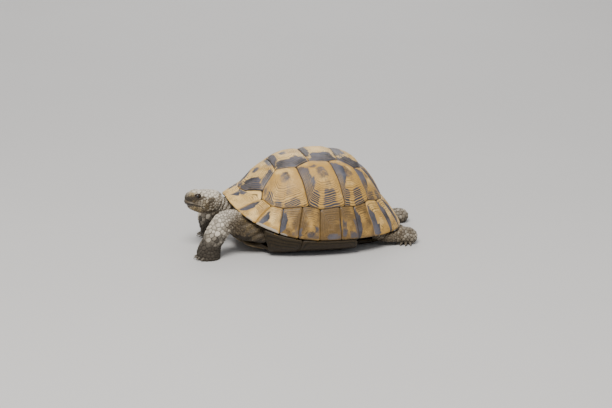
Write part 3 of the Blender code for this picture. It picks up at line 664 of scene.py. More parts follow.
def horn_material(name, settings, horns):
    """Shell horn: growth rings, ragged slate patches crossed by worn ridges, dark seams and a dull shine."""
    material, tree, shader = new_material(name)
    place = object_place(tree)
    dark, ridge, edge, tone, worn, rings, crested = attributes(
        tree, "dark", "ridge", "edge", "tone", "worn", "rings", "crested")
    blotch = noise(place, 210.0, 4.0, 0.6, 0.6)
    fine = noise(place, 900.0, 4.0, 0.65)
    clouds = noise(place, 75.0)
    pale, middling, brown = (shade(c) for c in horns)
    # Yellow horn, browner down the flanks, with darker grooves
    tone = tone + uneven(clouds, 1.3)
    horn = mixed(between(tone, 0.0, 0.4), pale, middling)
    horn = mixed(between(tone, 0.45, 1.0), horn, brown)
    horn = mixed(between(fine, 0.45, 0.75, 0.0, 0.35), horn, shade(middling, 0.55))
    groove = between(ridge, 0.88, 0.3) * between(blotch, 0.3, 0.6, 0.45, 0.95) * between(edge, 0.12, 0.45)
    horn = mixed(groove, horn, shade(brown, 0.28))
    # Slate patches with ragged borders, broken by the crests of the rings
    ragged = dark + uneven(blotch, 0.65) + uneven(fine, 0.35)
    crest = between(ridge, 0.90, 0.998) * between(clouds, 0.25, 0.5, 0.45, 0.95) * crested
    worn_grey = between(clouds, 0.3, 0.7) * between(crested, 0.1, 1.0, 1.0, 0.3)
    slate = mixed(worn_grey, shade(settings.slate), WORN_SLATE)
    body = mixed(between(ragged, 0.16, 0.80) * (1.0 - crest), horn, slate)
    # Worn, chalky rim and dark seams
    chalk = between(worn + uneven(fine, 0.8), 0.4, 0.7)
    body = mixed(chalk * 0.85, body, CHALK)
    body = mixed(between(edge, 0.972, 0.999) * 0.7, body, SEAM_DIRT)
    dust = paint(shader, place, body, dust=0.05)
    dull = between(fine, 0.3, 0.7, 0.42, 0.58) + dust * 0.6 + chalk * 0.2
    connect(shader, {"Roughness": dull, "Coat Weight": 0.12, "Coat Roughness": 0.35})
    # Hairline growth lines between the rings, over dents and grain
    lines = sum_node(tree, "SINE", rings * (HAIRLINES * 2 * math.pi))
    roughen(shader, place, 0.55, 0.00018, dents=1.2, grain=0.5, lines=lines * 0.16)
    return material


# ---------------------------------------------------------------- scutes


def on_disc(down, degrees, side=1):
    return np.array([down * math.cos(math.radians(degrees)), side * down * math.sin(math.radians(degrees))])


def waved(points, size):
    """Moves outline points a little, the same way for both scutes that share a seam."""
    scaled = points / size
    shift = np.stack([np.sin(scaled @ (31.0, 17.0)) + np.sin(scaled @ (-53.0, 71.0)),
                      np.sin(scaled @ (23.0, -41.0) + 2.0) + np.sin(scaled @ (67.0, 47.0))], -1)
    return points + shift * SEAM_WAVE * size * 0.5


def outline_points(corners, surface, count, scale):
    """Evenly spaced outline points, and for each its place as corner number plus share of the next side."""
    corners = [np.asarray(c, float) for c in corners]
    sides = list(zip(corners, corners[1:] + corners[:1]))
    spans = [np.linalg.norm(surface(*b) - surface(*a)) for a, b in sides]
    points, place = [], []
    for k, ((a, b), span) in enumerate(zip(sides, spans)):
        steps = max(2, round(count * span / sum(spans)))
        t = np.arange(steps) / steps
        points.append(a + (b - a) * t[:, None])
        place.append(k + t)
    points = waved(np.concatenate(points), scale)
    for _ in range(2):
        points = 0.5 * points + 0.25 * (np.roll(points, 1, 0) + np.roll(points, -1, 0))
    return points, np.concatenate(place)


def goes_all_round(start, stop, corner_count):
    return stop - start > corner_count - 0.01


def patch_darkness(patches, place, level, corner_count):
    """How dark each point is, from the patches: place runs along the outline, level out from the centre."""
    dark = np.zeros(place.shape)
    for start, stop, inner, outer, strength in patches:
        shape = np.ones(place.shape)
        if not goes_all_round(start, stop, corner_count):
            middle, half = (start + stop) / 2, (stop - start) / 2
            away = np.abs((place - middle + corner_count / 2) % corner_count - corner_count / 2)
            shape = 1 - ease(away, half - PATCH_SIDE_FADE[0], half + PATCH_SIDE_FADE[1])
        if inner > 0:
            shape = shape * ease(level, inner - PATCH_START_FADE, inner + PATCH_START_FADE)
        if outer < 1:
            shape = shape * (1 - ease(level, outer - PATCH_END_FADE[0], outer + PATCH_END_FADE[1]))
        dark = np.maximum(dark, strength * shape)
    return dark


def ring_level(u, v, start, outline, surface):
    """How far out from a scute's first plate each point is (1 at the outline), and the room there in mm."""
    edge = outline - start
    angle, reach = np.arctan2(edge[:, 1], edge[:, 0]), np.hypot(edge[:, 0], edge[:, 1])
    room = np.linalg.norm(surface(outline[:, 0], outline[:, 1]) - surface(*start), axis=1)
    order = np.argsort(angle)
    angle, reach, room = angle[order], reach[order], room[order]
    angle = np.concatenate([[angle[-1] - 2 * math.pi], angle, [angle[0] + 2 * math.pi]])
    reach, room = (np.concatenate([r[-1:], r, r[:1]]) for r in (reach, room))
    here = np.arctan2(v - start[1], u - start[0])
    return np.hypot(u - start[0], v - start[1]) / np.interp(here, angle, reach), np.interp(here, angle, room)


def from_centre(centre, reach, shares):
    """The centre, then the outline drawn in to each share of its reach, as u and v."""
    grid = centre + shares[:, None, None] * reach
    return [np.concatenate([[centre[k]], grid[..., k].ravel()]) for k in (0, 1)]


def growth_rings(u, v, base, outline, start, look):
    """Each point's growth, its ring's number, its ridge (1 on a crest) and how well rings fit there."""
    growth, room = ring_level(u, v, start, outline, look.surface)
    drift = wobble(base, 14.0, look.seed, 2)
    rings = look.rings * (growth + 0.012 * np.sin(growth * 23 + look.seed) + 0.010 * growth * drift)
    fits = ease(room / look.rings, 0.35, 1.1)
    if look.foot_rings:
        lower = ease(np.hypot(u, v) - np.hypot(*start), -0.05, 0.30)
        fits = fits * (1 - look.foot_rings + look.foot_rings * lower)
    return growth, rings, 1 - np.abs(2 * (rings % 1.0) - 1) ** 3 * fits, fits


def scute_relief(base, level, growth, ridge, fits, look, settings):
    """How far each point stands over the shell: swell, rings, dents, the dip to the seam, the first plate."""
    strength = ease(growth, 0.16, 0.5) * (0.55 + 0.45 * wobble(base, 30.0, look.seed + 1, 2)) * look.relief
    strength = strength * fits * (1 - 0.6 * ease(level, 0.93, 1.0))
    rise = look.swell * (1 - level**2)
    rise += settings.ring_height / MM * (ridge - 0.8) * np.clip(strength, 0.12, 1.1)
    rise += 0.10 * wobble(base, 5.0, look.seed + 2) * ease(level, 0.0, 0.3) * (1 - ease(level, 0.9, 1.0))
    rise -= settings.seam_depth / MM * ease(level, 1 - look.shoulder, 1.0) ** 1.6
    return rise - 0.35 * (1 - ease(level, 0.10, 0.2)) * look.relief


def scute_marks(base, normal, place, level, rings, corner_count, look):
    """How dark, how brown and how worn each point of a scute is."""
    # Each growth ring carries its own stretch of every patch, so their borders step from ring to ring
    steps = np.random.default_rng(look.seed).normal(size=look.rings + 4)
    step = steps[np.clip(rings.astype(int), 0, look.rings + 3)]
    where = np.concatenate([[0.0], place]) + 0.035 * step * ease(level, 0.3, 0.6)
    where = where + 0.11 * wobble(base, 11.0, look.seed + 5) * ease(level, 0.1, 0.4)
    depth = level + 0.055 * wobble(base, 10.0, look.seed + 6) * (1 - ease(level, 0.88, 1.0))
    dark = patch_darkness(look.patches, where, depth, corner_count)
    tone = look.tone + look.tone_fall * (level - 0.5) * np.clip(-normal[:, 2] + 0.6, 0, 1)
    # On the plastron this browns the plates outwards into the near-black bridge horn: painted shade under the
    # rim
    tone = tone + look.side_tone * ease(np.abs(base[:, 1]), 33.0, 43.0)
    worn = np.zeros(len(base))
    for start, stop, inner, strength in look.worn:
        middle, half = (start + stop) / 2, (stop - start) / 2
        away = np.abs(np.concatenate([[99.0], place]) - middle)
        rubbed = (1 - ease(away, half - 0.2, half + 0.2)) * ease(level, inner, inner + 0.3)
        worn = np.maximum(worn, strength * rubbed)
    return dark, tone, worn


def horn_scute(name, corners, centre, look, settings, material):
    """One scute as a closed plate: growth rings round its centre, an edge that dips, and a plain back."""
    outline, place = outline_points(corners, look.surface, look.points, look.scale)
    count = len(outline)
    distance = np.linalg.norm(look.surface(outline[:, 0], outline[:, 1]) - look.surface(*centre), axis=1)
    reach = (1 - settings.seam_gap / MM / 2 / distance)[:, None] * (outline - centre)
    shares = np.linspace(0, 1, look.steps + 1)[1:] ** ROW_CROWDING
    u, v = from_centre(centre, reach, shares)
    level = np.concatenate([[0.0], np.repeat(shares, count)])
    base, normal = look.surface(u, v), look.facing(u, v)
    # Growth rings round the place where the scute began, with a slow drift so that no two are alike
    start = centre if look.began is None else look.began
    growth, rings, ridge, fits = growth_rings(u, v, base, outline, start, look)
    front = base + normal * scute_relief(base, level, growth, ridge, fits, look, settings)[:, None]
    # Back: two rings and a pole, straight behind
    u, v = from_centre(centre, reach, np.array([0.5, 1.0]))
    back = look.surface(u, v) - look.facing(u, v) * look.thickness
    n = len(front)
    seam, back_seam = 1 + (len(shares) - 1) * count, n + 1 + count
    k = np.arange(count)
    ahead = (k + 1) % count
    wall = np.stack([seam + k, seam + ahead, back_seam + ahead, back_seam + k], -1)
    quads = [ring_quads(len(shares), count, 1, look.flip), ring_quads(2, count, n + 1, not look.flip),
             wall[:, ::-1] if look.flip else wall]
    tris = [fan(0, count, 1, look.flip), fan(n, count, n + 1, not look.flip)]
    points = to_world(np.concatenate([front, back]))
    obj = add_mesh(name, points, np.concatenate(quads), np.concatenate(tris))
    places = np.tile(place, len(shares))
    dark, tone, worn = scute_marks(base, normal, places, level, rings, len(corners), look)
    crested = look.crested * fits * ease(level, 0.42, 0.72)
    on_front = {"dark": (dark, 0), "ridge": (ridge, 1), "edge": (level, 1), "tone": (tone, look.tone),
                "worn": (worn, 0), "rings": (rings, 0), "crested": (crested, 0)}
    put_values(obj, **{key: np.append(values, np.full(len(back), behind))
                       for key, (values, behind) in on_front.items()})
    finish_piece(obj, material, (look.node,))


def mirrored(patches, corner_count):
    """Adds each patch's twin on the other side of the animal's midline, for a scute that crosses it."""
    twins = []
    for start, stop, *rest in patches:
        twins.append((start, stop, *rest))
        if not goes_all_round(start, stop, corner_count):
            low = (corner_count - 1 - stop) % corner_count
            twins.append((low, low + stop - start, *rest))
    return tuple(twins)


def scute_look(settings, seed, **changes):
    """How one scute is cut, ringed and marked: these values, apart from the changes."""
    look = {"surface": carapace, "facing": outward, "slot": "carapace_horn", "scale": 1.0, "points": 132,
            "steps": 96, "rings": 17, "relief": 1.0, "swell": 1.6, "shoulder": 0.07, "tone": 0.3,
            "thickness": settings.thickness / MM, "tone_fall": 0.35, "side_tone": 0.0, "patches": (),
            "worn": (), "foot_rings": 0.0, "crested": 0.15, "seed": seed, "flip": True, "began": None}
    return SimpleNamespace(**{**look, **changes})


class TORTOISE_OT_carapace(Operator):
    """Builds the nuchal, vertebral, costal, marginal and supracaudal scutes"""

    bl_idname = "tortoise.carapace"
    bl_label = "Carapace"

    def execute(self, context):
        settings = context.scene.tortoise_shell
        material = horn_material("carapace horn", settings, (settings.cream, settings.straw, settings.ochre))

        def lay(node_name, seed, corners, centre, **changes):
            look = scute_look(settings, seed, node=node_name, **changes)
            horn_scute(f"scute_{node_name}", corners, centre, look, settings, material)

        rim_thickness = settings.rim_thickness / MM
        for number, (names, centre, tone, patches) in enumerate(VERTEBRALS, 1):
            corners = [on_disc(*JOINTS[n]) for n in names]
            corners += [on_disc(*JOINTS[n], side=-1) for n in reversed(names)]
            lay(f"vertebral_{number}", 10 + number, corners, on_disc(*centre), tone=tone, swell=2.6, rings=14,
                relief=0.38, patches=mirrored(patches, len(corners)))
        for word, side in SIDES.items():
            for number, (names, centre, tone, patches) in enumerate(COSTALS, 1):
                corners = [on_disc(*JOINTS[n], side) for n in names]
                lay(f"costal_{word}_{number}", 30 + 7 * side + number, corners, on_disc(*centre, side),
                    tone=tone, rings=20, relief=1.2, foot_rings=0.86, crested=1.0, patches=patches,
                    flip=side > 0)
            for number, (names, tone, patches) in enumerate(MARGINALS, 1):
                corners = [on_disc(*JOINTS[n], side) for n in names]
                start, stop = RIM_SEAMS[names[-1]], RIM_SEAMS[names[0]]
                corners += [on_disc(2, start + (stop - start) * k / 2, side) for k in range(3)]
                centre = np.mean(corners, axis=0)
                began = centre + 0.55 * (np.mean([corners[-3], corners[-2]], axis=0) - centre)
                lay(f"marginal_{word}_{number:02d}", 60 + 13 * side + number, corners, centre, tone=tone,
                    swell=0.7, rings=13, points=84, steps=60, relief=0.9, shoulder=0.12, began=began,
                    patches=patches, worn=(WORN_RIMS.get(number, WORN_RIM),), thickness=rim_thickness,
                    flip=side > 0)
        for name, (joint, tone, patches) in END_SCUTES.items():
            corners = [on_disc(*JOINTS[joint], side=-1), on_disc(*JOINTS[joint])]
            edge = RIM_SEAMS[joint]
            other = 360 - edge if edge > 90 else -edge
            corners += [on_disc(2, edge + (other - edge) * k / 2) for k in range(3)]
            lay(name, 90, corners, np.mean(corners, axis=0), tone=tone, swell=0.5, rings=6, points=72,
                steps=36, relief=0.6, shoulder=0.12, patches=patches, thickness=rim_thickness)
        return {"FINISHED"}


def plastron_corners(number):
    mid_a, mid_b = MIDLINE_SEAMS[number : number + 2]
    edge_a, edge_b = EDGE_SEAMS[number : number + 2]
    reach = BRIDGE["sheet_edge"]
    if PLASTRON_PLATES[number] == "pectoral":
        outer = [(edge_a, LOBE_HALF_WIDTH), (edge_a - BRIDGE["lean"] + 1, reach), (edge_b, reach)]
    elif PLASTRON_PLATES[number] == "abdominal":
        outer = [(edge_a, reach), (edge_b - 3, reach), (edge_b, LOBE_HALF_WIDTH)]
    else:
        outer = [(s, float(lobe_half_width(s))) for s in np.linspace(edge_a, edge_b, 4)]
    return [(mid_a, MIDLINE_GAP), *outer, (mid_b, MIDLINE_GAP)]


class TORTOISE_OT_plastron(Operator):
    """Builds the twelve plates of the underside and its bridges"""

    bl_idname = "tortoise.plastron"
    bl_label = "Plastron"

    def execute(self, context):
        settings = context.scene.tortoise_shell
        # The plates' outer edges and bridges take the bridge horn, painted shade under the rim
        material = horn_material("plastron horn", settings, (settings.straw, settings.belly, settings.bridge))
        shader = material.node_tree.nodes["Principled BSDF"]
        connect(shader, {"Coat Weight": 0.0, "Specular IOR Level": 0.25})
        for word, side in SIDES.items():
            for number, name in enumerate(PLASTRON_PLATES):
                corners = [np.array((s, side * a)) for s, a in plastron_corners(number)]
                bridge = name in ("pectoral", "abdominal")
                last = len(corners) - 1.0
                patches = [(last - (0.55 if bridge else 1.2), last, 0.35, 0.95, 0.9)]
                if not bridge:
                    patches.append((1.2, 2.6, 0.3, 0.8, 0.8))
                look = scute_look(settings, 120 + 5 * side + number, surface=plastron, facing=downward,
                                  slot="plastron_horn", node=f"{name}_{word}", scale=80.0, tone=0.4,
                                  side_tone=1.2, swell=0.3, rings=9, points=96, steps=54, relief=0.5,
                                  patches=patches, shoulder=0.035 if bridge else 0.06, flip=side < 0,
                                  thickness=settings.plastron_thickness / MM)
                centre = np.mean(corners, axis=0)
                horn_scute(f"plate_{name}_{word}", corners, centre, look, settings, material)
        return {"FINISHED"}


# ---------------------------------------------------------------- flesh sizes

# Limb rows: x, w, z of the middle, half depth along the body, half breadth across it. x is given before
# ORIGIN_X is taken off.
LEFT_FORELEG = (
    (-44, 22, 27, 11, 10), (-61, 30, 25.5, 12.5, 13), (-76, 33, 26.5, 13, 13.5), (-87, 33.5, 29.6, 12, 11.6),
    (-95, 34.5, 37, 12.5, 11.3), (-102.5, 37.2, 37, 12.5, 11.5), (-109, 40, 32.5, 12, 11),
    (-114.5, 41.5, 25, 11.5, 10.5), (-119, 41, 16, 11, 10.5), (-121.5, 40, 7.5, 12.5, 12),
    (-122, 40, -1.5, 12.5, 12.5),
)
RIGHT_FORELEG = (
    (-44, -22, 27, 11, 10), (-61, -30, 25, 12.5, 13), (-75, -33, 26.5, 13, 14), (-86, -34, 29.5, 12.5, 12.5),
    (-95, -36, 33, 12, 11.5), (-101, -39, 29, 12.5, 11.5), (-104, -40, 21.5, 11.5, 10.5),
    (-102.5, -40, 12.5, 11, 10.5), (-100, -39.5, 5, 12.5, 12.5), (-99.5, -39.5, -1.5, 12, 12),
)
LEFT_HIND_LEG = (
    (40, 31, 30, 13, 12), (54, 37, 22, 11.5, 11.5), (65, 40, 12.7, 7.7, 10.5), (74, 40.5, 8.9, 5.8, 10.5),
    (83.5, 40, 8.2, 5.6, 10.5), (91, 40.5, 9.2, 9, 10.5), (97, 40.5, 7.8, 8.8, 10.5),
    (101.5, 40.5, 6.4, 7, 9),
    (104.2, 40.5, 5.6, 4, 5.5),
)
RIGHT_HIND_LEG = (
    (40, -31, 30, 13, 12), (56, -37, 20, 11, 11), (68, -39.5, 11.3, 7.1, 10.5), (78, -40, 8.1, 5.7, 10.5),
    (90, -39.5, 7.6, 6, 10.5), (103, -39, 7.4, 7.4, 11), (111, -38.5, 7, 8, 10.5), (116, -38.5, 6, 6.6, 9),
    (118.7, -38.5, 5.2, 4, 5.5),
)
TAIL = (
    (68, 0, 20, 9, 10), (80, 0, 14.5, 6.5, 7.5), (89, 0.5, 9.5, 5, 6), (96, 1, 7, 3.8, 4.6),
    (102.5, 1.5, 5.5, 2, 2.4),
)
# Loose skin that fills the pocket between a foreleg, the rim and the plastron
ARMPIT = (
    (-88, 33, 27, 9, 10), (-74, 34, 22, 9, 11), (-60, 37, 20, 8, 11), (-46, 40, 21, 8, 9),
    (-36, 39, 22, 8, 8),
)
# Head and neck rows: x, lowest, highest, half width, squareness
HEAD = (
    (-138.2, 49.8, 57.4, 3.6, 2.3), (-137, 47, 59.6, 5.8, 2.4), (-134.5, 44.2, 61.3, 7.6, 2.6),
    (-130.5, 42, 62.2, 9.3, 2.8), (-126, 39.9, 62.8, 10.7, 2.9), (-120, 37.9, 63.1, 12.3, 2.8),
    (-114, 37.2, 63.2, 12.9, 2.6), (-108.5, 38, 62.6, 12.4, 2.4), (-104, 39.4, 61.4, 11.6, 2.2),
    (-100, 37.4, 59.0, 11.3, 2.1), (-96.6, 36, 52.4, 11.3, 2.1), (-91, 34.2, 51.6, 11.7, 2.1),
    (-83, 31, 51.6, 12.4, 2), (-64, 26, 51, 13, 2),
)
EYE = {"x": -125.5, "w": 6.9, "z": 59.0, "radius": 3.2, "half_long": 3.0, "half_high": 2.5, "rise": 0.35,
       "cornea": 0.28}
MOUTH_LINE = ((-145.0, 51.0), (-130.5, 50.4), (-124.0, 48.2), (-117.5, 46.0), (-112.0, 44.5))
EARDRUM = (-111.4, 51.7, 3.1)
# Large shields on top of the head: x, distance from the midline, size
HEAD_SHIELDS = (
    (-135.4, 1.9, 3.2), (-131.9, 2.7, 4.4), (-127.6, 0, 5.6), (-128.2, 5, 3.6), (-122.6, 3, 4.6),
    (-124, 7, 3.4),
    (-118.2, 0, 4), (-118.4, 5.2, 4.2), (-114, 2.6, 4), (-113.4, 7.2, 3.8), (-109.4, 0, 3.6),
)
SNOUT = (-139.9, -130)
NOSTRIL = (-137.5, 1.9, 55.9)
# Brow, nose, cheek and the hollows between them: height over the skin, x, distance from the midline, z,
# radius
HEAD_BUMPS = (
    (1.4, -125.6, 8.3, 62.2, 2.5), (0.5, -131.5, 5.6, 61.2, 2.8), (0.6, -114.5, 12.5, 47.5, 4.5),
    (-0.7, -132.5, 8.2, 59.5, 2.6), (-0.5, -120, 11.8, 56.5, 2.6), (-1.1, *NOSTRIL, 0.75),
)
# Yellow on the nose, the cheek and the jaw: strength, x, distance from the midline, z, radius
YELLOW_PATCHES = (
    (1, -131.3, 4.5, 61.6, 3.6), (0.75, -128.6, 9, 55.6, 2.2), (0.7, -128, 8, 43, 5.5),
    (0.4, -118, 11, 51, 4),
)
# Where the shell hides the skin, along the frame
HIDDEN_SKIN = (-34, 50)
# Where the skin's mesh is split once more: over the head, and again round the eyes
FINER_HEAD = {"end": -103.5, "half_wide": 15.5, "floor": 33.0}
FINER_EYES = {"half_long": 5.5, "half_high": 4.8, "from_midline": 4.5}
# Turns a direction in the frame into one in (x, w, z)
FLIP_W = np.array([1, -1, 1.0])
# Scales: distances between their middles, and how far out and how high their rings of points lie
USUAL_SCALE = 2.1
EYELID_SCALE = 0.95
EARDRUM_SCALE = 1.25
SCALE_RINGS = (0.62, 0.95, 1.0)
SCALE_RISES = (0.92, 0.42, -0.45)
DOWN_THE_LIMB = (0.35, 0.0, -1.0)
ALONG_THE_NECK = (1.0, 0.0, -0.15)
# The shell hides skin nearer to it than this
SHELL_REACH = 7.0
# The baking map: its margin, and the size of one scale's patch
MAP_MARGIN = 0.03
MAP_PATCH = 0.0015
# Scattering: edge of a search cell, least gap as a share of the mean spacing, and a distance past all others
BUCKET = 4.0
CLOSENESS = 0.43
FAR = 99.0
BEAK = {"middle": -127.5, "front": -139.0, "half_turn": 112}
CLAW = {"sunk": 3.5, "half_wide": 1.85, "bend": 1.9}
SOLE = 0.45
FEET = {
    "foreleg_left": ((-121, 40, 3.6), 11.5, (128, 154, 180, 206, 232)),
    "foreleg_right": ((-100.5, -39.5, 3.6), 11.5, (128, 154, 180, 206, 232)),
    "hind_leg_left": ((94, 41, 3.4), 9.0, (80, 110, 140, 170)),
    "hind_leg_right": ((108, -39.5, 3.4), 9.0, (80, 110, 140, 170)),
}


class TORTOISE_PG_flesh(PropertyGroup):
    """Sizes and colours of the skin, scales, claws and eyes."""

    inset: length("Scale depth", "How far the skin lies under the solids, for the scales to fill", 0.0005)
    voxel: length("Skin fineness", "Edge of the skin's mesh cells", 0.00095)
    scale_height: length("Scale height", "How far a small scale stands over the skin", 0.00042)
    claw_length: length("Claw length", "Length of a claw outside the toe", 0.0072)
    pale: colour("Pale scales", "Scales of the head and the forearms", (0.68, 0.61, 0.50))
    brown: colour("Brown skin", "Skin of the neck and armpits", (0.085, 0.060, 0.031))
    yellow: colour("Yellow scales", "Patch on the snout and jaw", (0.42, 0.29, 0.10))
    # Soil colour, also used for painted shade low in the armpits and on the far hind foot
    soil_and_shade: colour("Soil", "Dried earth on the feet", (0.026, 0.019, 0.012))
    claw: colour("Claw horn", "Claws and spurs", (0.05, 0.04, 0.028))
    iris: colour("Iris", "Ring round the pupil", (0.05, 0.028, 0.012))


# ---------------------------------------------------------------- skin


def placed(points):
    """(x, w, z) as frame points: y is to the animal's right."""
    return np.stack([points[..., 0] - ORIGIN_X, -points[..., 1], points[..., 2]], -1)


def unplaced(points):
    return np.stack([points[..., 0] + ORIGIN_X, -points[..., 1], points[..., 2]], -1)


def rounded(rows, step):
    """Rows resampled about every step millimetres on a curve through them."""
    rows = np.asarray(rows, float)
    gaps = np.linalg.norm(np.diff(rows[:, :3], axis=0), axis=1)
    at = np.concatenate([[0], np.cumsum(np.maximum(gaps, 1e-6))])
    slope = np.gradient(rows, at, axis=0)
    want = np.linspace(0, at[-1], max(3, int(at[-1] / step)))
    k = np.clip(np.searchsorted(at, want, side="right") - 1, 0, len(at) - 2)
    span = (at[k + 1] - at[k])[:, None]
    h0, h1, h2, h3 = hermite(((want - at[k]) / span[:, 0])[:, None])
    return h0 * rows[k] + h1 * span * slope[k] + h2 * rows[k + 1] + h3 * span * slope[k + 1]


def superellipse(sides, power):
    angles = np.arange(sides) * 2 * math.pi / sides
    c, s = np.cos(angles), np.sin(angles)
    return np.stack([np.sign(c) * np.abs(c) ** (2 / power), np.sign(s) * np.abs(s) ** (2 / power)], -1)


def tube(rows, inset, sides=40, step=1.5):
    """Rings of points square to a limb's path."""
    rows = rounded(rows, step)
    middles = rows[:, :3]
    heading = np.gradient(middles, axis=0)
    heading /= np.linalg.norm(heading, axis=1, keepdims=True)
    across = np.array([0, 1.0, 0]) - heading[:, 1:2] * heading
    across /= np.linalg.norm(across, axis=1, keepdims=True)
    up = np.cross(heading, across)
    circle = superellipse(sides, 2.0)
    return (middles[:, None] + circle[None, :, :1] * across[:, None] * (rows[:, None, 4:5] - inset)
            + circle[None, :, 1:] * up[:, None] * (rows[:, None, 3:4] - inset))


def upright(rows, inset, sides=48, step=1.0):
    """Rings of points across the head and neck."""
    x, low, high, half_wide, power = np.asarray(rows, float).T
    middle, half_high = (low + high) / 2, (high - low) / 2
    rows = rounded(np.stack([x, middle, np.zeros(len(x)), half_high, half_wide, power], -1), step)
    rings = []
    for x, middle, _, half_high, half_wide, power in rows:
        shape = superellipse(sides, power)
        rings.append(np.stack([np.full(sides, x), shape[:, 0] * (half_wide - inset),
                               middle + shape[:, 1] * (half_high - inset)], -1))
    rings = np.array(rings)
    rings[:, :, 0] += inset * (1 - ease(rings[:, :, 0], *SNOUT))
    return rings


def body_from(rings):
    """A closed mesh through rings of points, with a fan over each end, facing out."""
    count = rings.shape[1]
    points = np.concatenate([rings.reshape(-1, 3), rings[:1].mean(1), rings[-1:].mean(1)])
    last = (len(rings) - 1) * count
    ends = np.concatenate([fan(len(points) - 2, count, 0), fan(len(points) - 1, count, last, True)])
    obj = add_mesh("mass", placed(points), ring_quads(len(rings), count), ends)
    face_outwards(obj)
    return obj


def apply(obj, kind, **settings):
    """Adds a modifier with these settings and applies it."""
    select_only(obj)
    modifier = obj.modifiers.new("shaping", kind)
    for name, value in settings.items():
        setattr(modifier, name, value)
    bpy.ops.object.modifier_apply(modifier=modifier.name)


def near(points, x, w, z, radius):
    """1 at a place on either side of the animal, falling smoothly to 0 a few radii away."""
    away = (points[:, 0] - x) ** 2 + (np.abs(points[:, 1]) - w) ** 2 + (points[:, 2] - z) ** 2
    return np.exp(-away / radius**2)


def bell(distance, width):
    return np.exp(-((distance / width) ** 2))


def waves(distance, period):
    return np.sin(distance * 2 * math.pi / period)


def neck_folds(p):
    """From -1 in the neck's creases to 1 on its folds, which lean forward and wander a little."""
    return waves(p[:, 0] - 0.55 * p[:, 2] + 1.1 * wobble(p, 18.0, 5, 2), 4.9)


def mouth_height(x):
    return np.interp(x, *zip(*MOUTH_LINE))


def finer(obj, chosen):
    """Splits the faces whose middle (x, w, z) is chosen."""
    with editing(obj) as work:
        middles = ((f, unplaced(np.array(f.calc_center_median()) / MM)) for f in work.faces)
        edges = {e for f, middle in middles if chosen(*middle) for e in f.edges}
        bmesh.ops.subdivide_edges(work, edges=list(edges), cuts=1, use_grid_fill=True, smooth=0.0)
        bmesh.ops.triangulate(work, faces=[f for f in work.faces if len(f.verts) > 4])


def shape_head(p, n):
    """Orbits and lids, mouth, nostrils, eardrums, brow and cheeks."""
    x, w, z = p.T
    out, wide = np.sign(w), np.abs(w)
    push = sum(height * near(p, *place) for height, *place in HEAD_BUMPS)
    # Mouth: a groove, with the lower jaw set back under the beak's edge
    above = z - mouth_height(x)
    set_back = ease(-above, 0.0, 0.8) * (1 - ease(-above, 3.5, 7.0))
    jaw = 1 - ease(x, -119.5, -116.0)
    push += jaw * (0.25 * bell(above - 1.0, 0.7) - 0.75 * bell(above, 0.5) - 0.75 * set_back)
    # Eardrum: a shallow dish with a soft rim
    away = np.hypot(x - EARDRUM[0], z - EARDRUM[1]) / EARDRUM[2]
    push += ease(wide, 8.0, 10.0) * (0.3 * bell(away - 1.15, 0.2) - 0.55 * (1 - ease(away, 0.75, 1.05)))
    p = p + n * (push * (1 - ease(x, -106, -102)))[:, None]
    # Eye: the skin ends in two lids that lie on the globe
    dx, dz = x - EYE["x"], z - EYE["z"] - EYE["rise"]
    opening = np.hypot(dx / EYE["half_long"], dz / EYE["half_high"] * np.where(dz > 0, 1.12, 0.95))
    globe = EYE["w"] + np.sqrt(np.maximum(EYE["radius"] ** 2 - dx**2 - (dz + EYE["rise"]) ** 2, 0))
    behind_globe = globe - 1.6
    at_eye = (wide > 4) & (np.abs(dx) < 6.5) & (np.abs(dz) < 5.5) & (x < -118)
    lid = np.maximum(globe + 0.42, wide + 0.12)
    closed = ease(opening, 0.93, 1.02)
    shaped = wide + (lid - wide) * (1 - ease(opening, 1.45, 1.95)) * closed
    shaped = shaped - (wide - behind_globe) * (1 - closed)
    shaped = np.where(opening < 0.93, behind_globe, shaped) - 0.45 * bell(opening - 1.62, 0.13)
    p[:, 1] = np.where(at_eye, out * shaped, p[:, 1])
    return p


def shape_skin(p, n):
    """Folds of the neck, limbs and armpits."""
    x, w, z = p.T
    wide = np.abs(w)
    neck = ease(x, -106, -100) * (1 - ease(x, -74, -66)) * (1 - ease(wide, 15, 19)) * ease(z, 25, 30)
    smooth_nape = 1 - 0.7 * ease(z, 53, 57)
    push = neck * smooth_nape * 0.85 * neck_folds(p)
    push += neck * 0.35 * np.sin(np.arctan2(w, z - 44) * 9 + 2.5 * wobble(p, 14.0, 9, 2))
    push += neck * 1.1 * bell(x + 92 + 0.15 * (z - 45), 2.2)
    limbs = ease(wide, 14, 20)
    push += limbs * 0.30 * wobble(p, 7.0, 6, 3)
    fore = limbs * (x < -40)
    elbow = bell(x + 96 + 0.35 * (z - 36), 9.0) * fore * (z > 18)
    push -= elbow * 0.45 * (1 + waves(x * 0.8 + z * 0.6, 3.6)) / 2
    armpit = fore * ease(x, -92, -80) * (1 - ease(x, -48, -38))
    push += armpit * 0.65 * waves(0.8 * z - 0.35 * x + 1.6 * wobble(p, 22.0, 8, 2), 6.5)
    hind = limbs * (x > 40) * (1 - ease(x, 82, 92))
    push += hind * 0.4 * waves(x * 0.9 - z * 0.5, 5.0)
    return p + n * push[:, None]


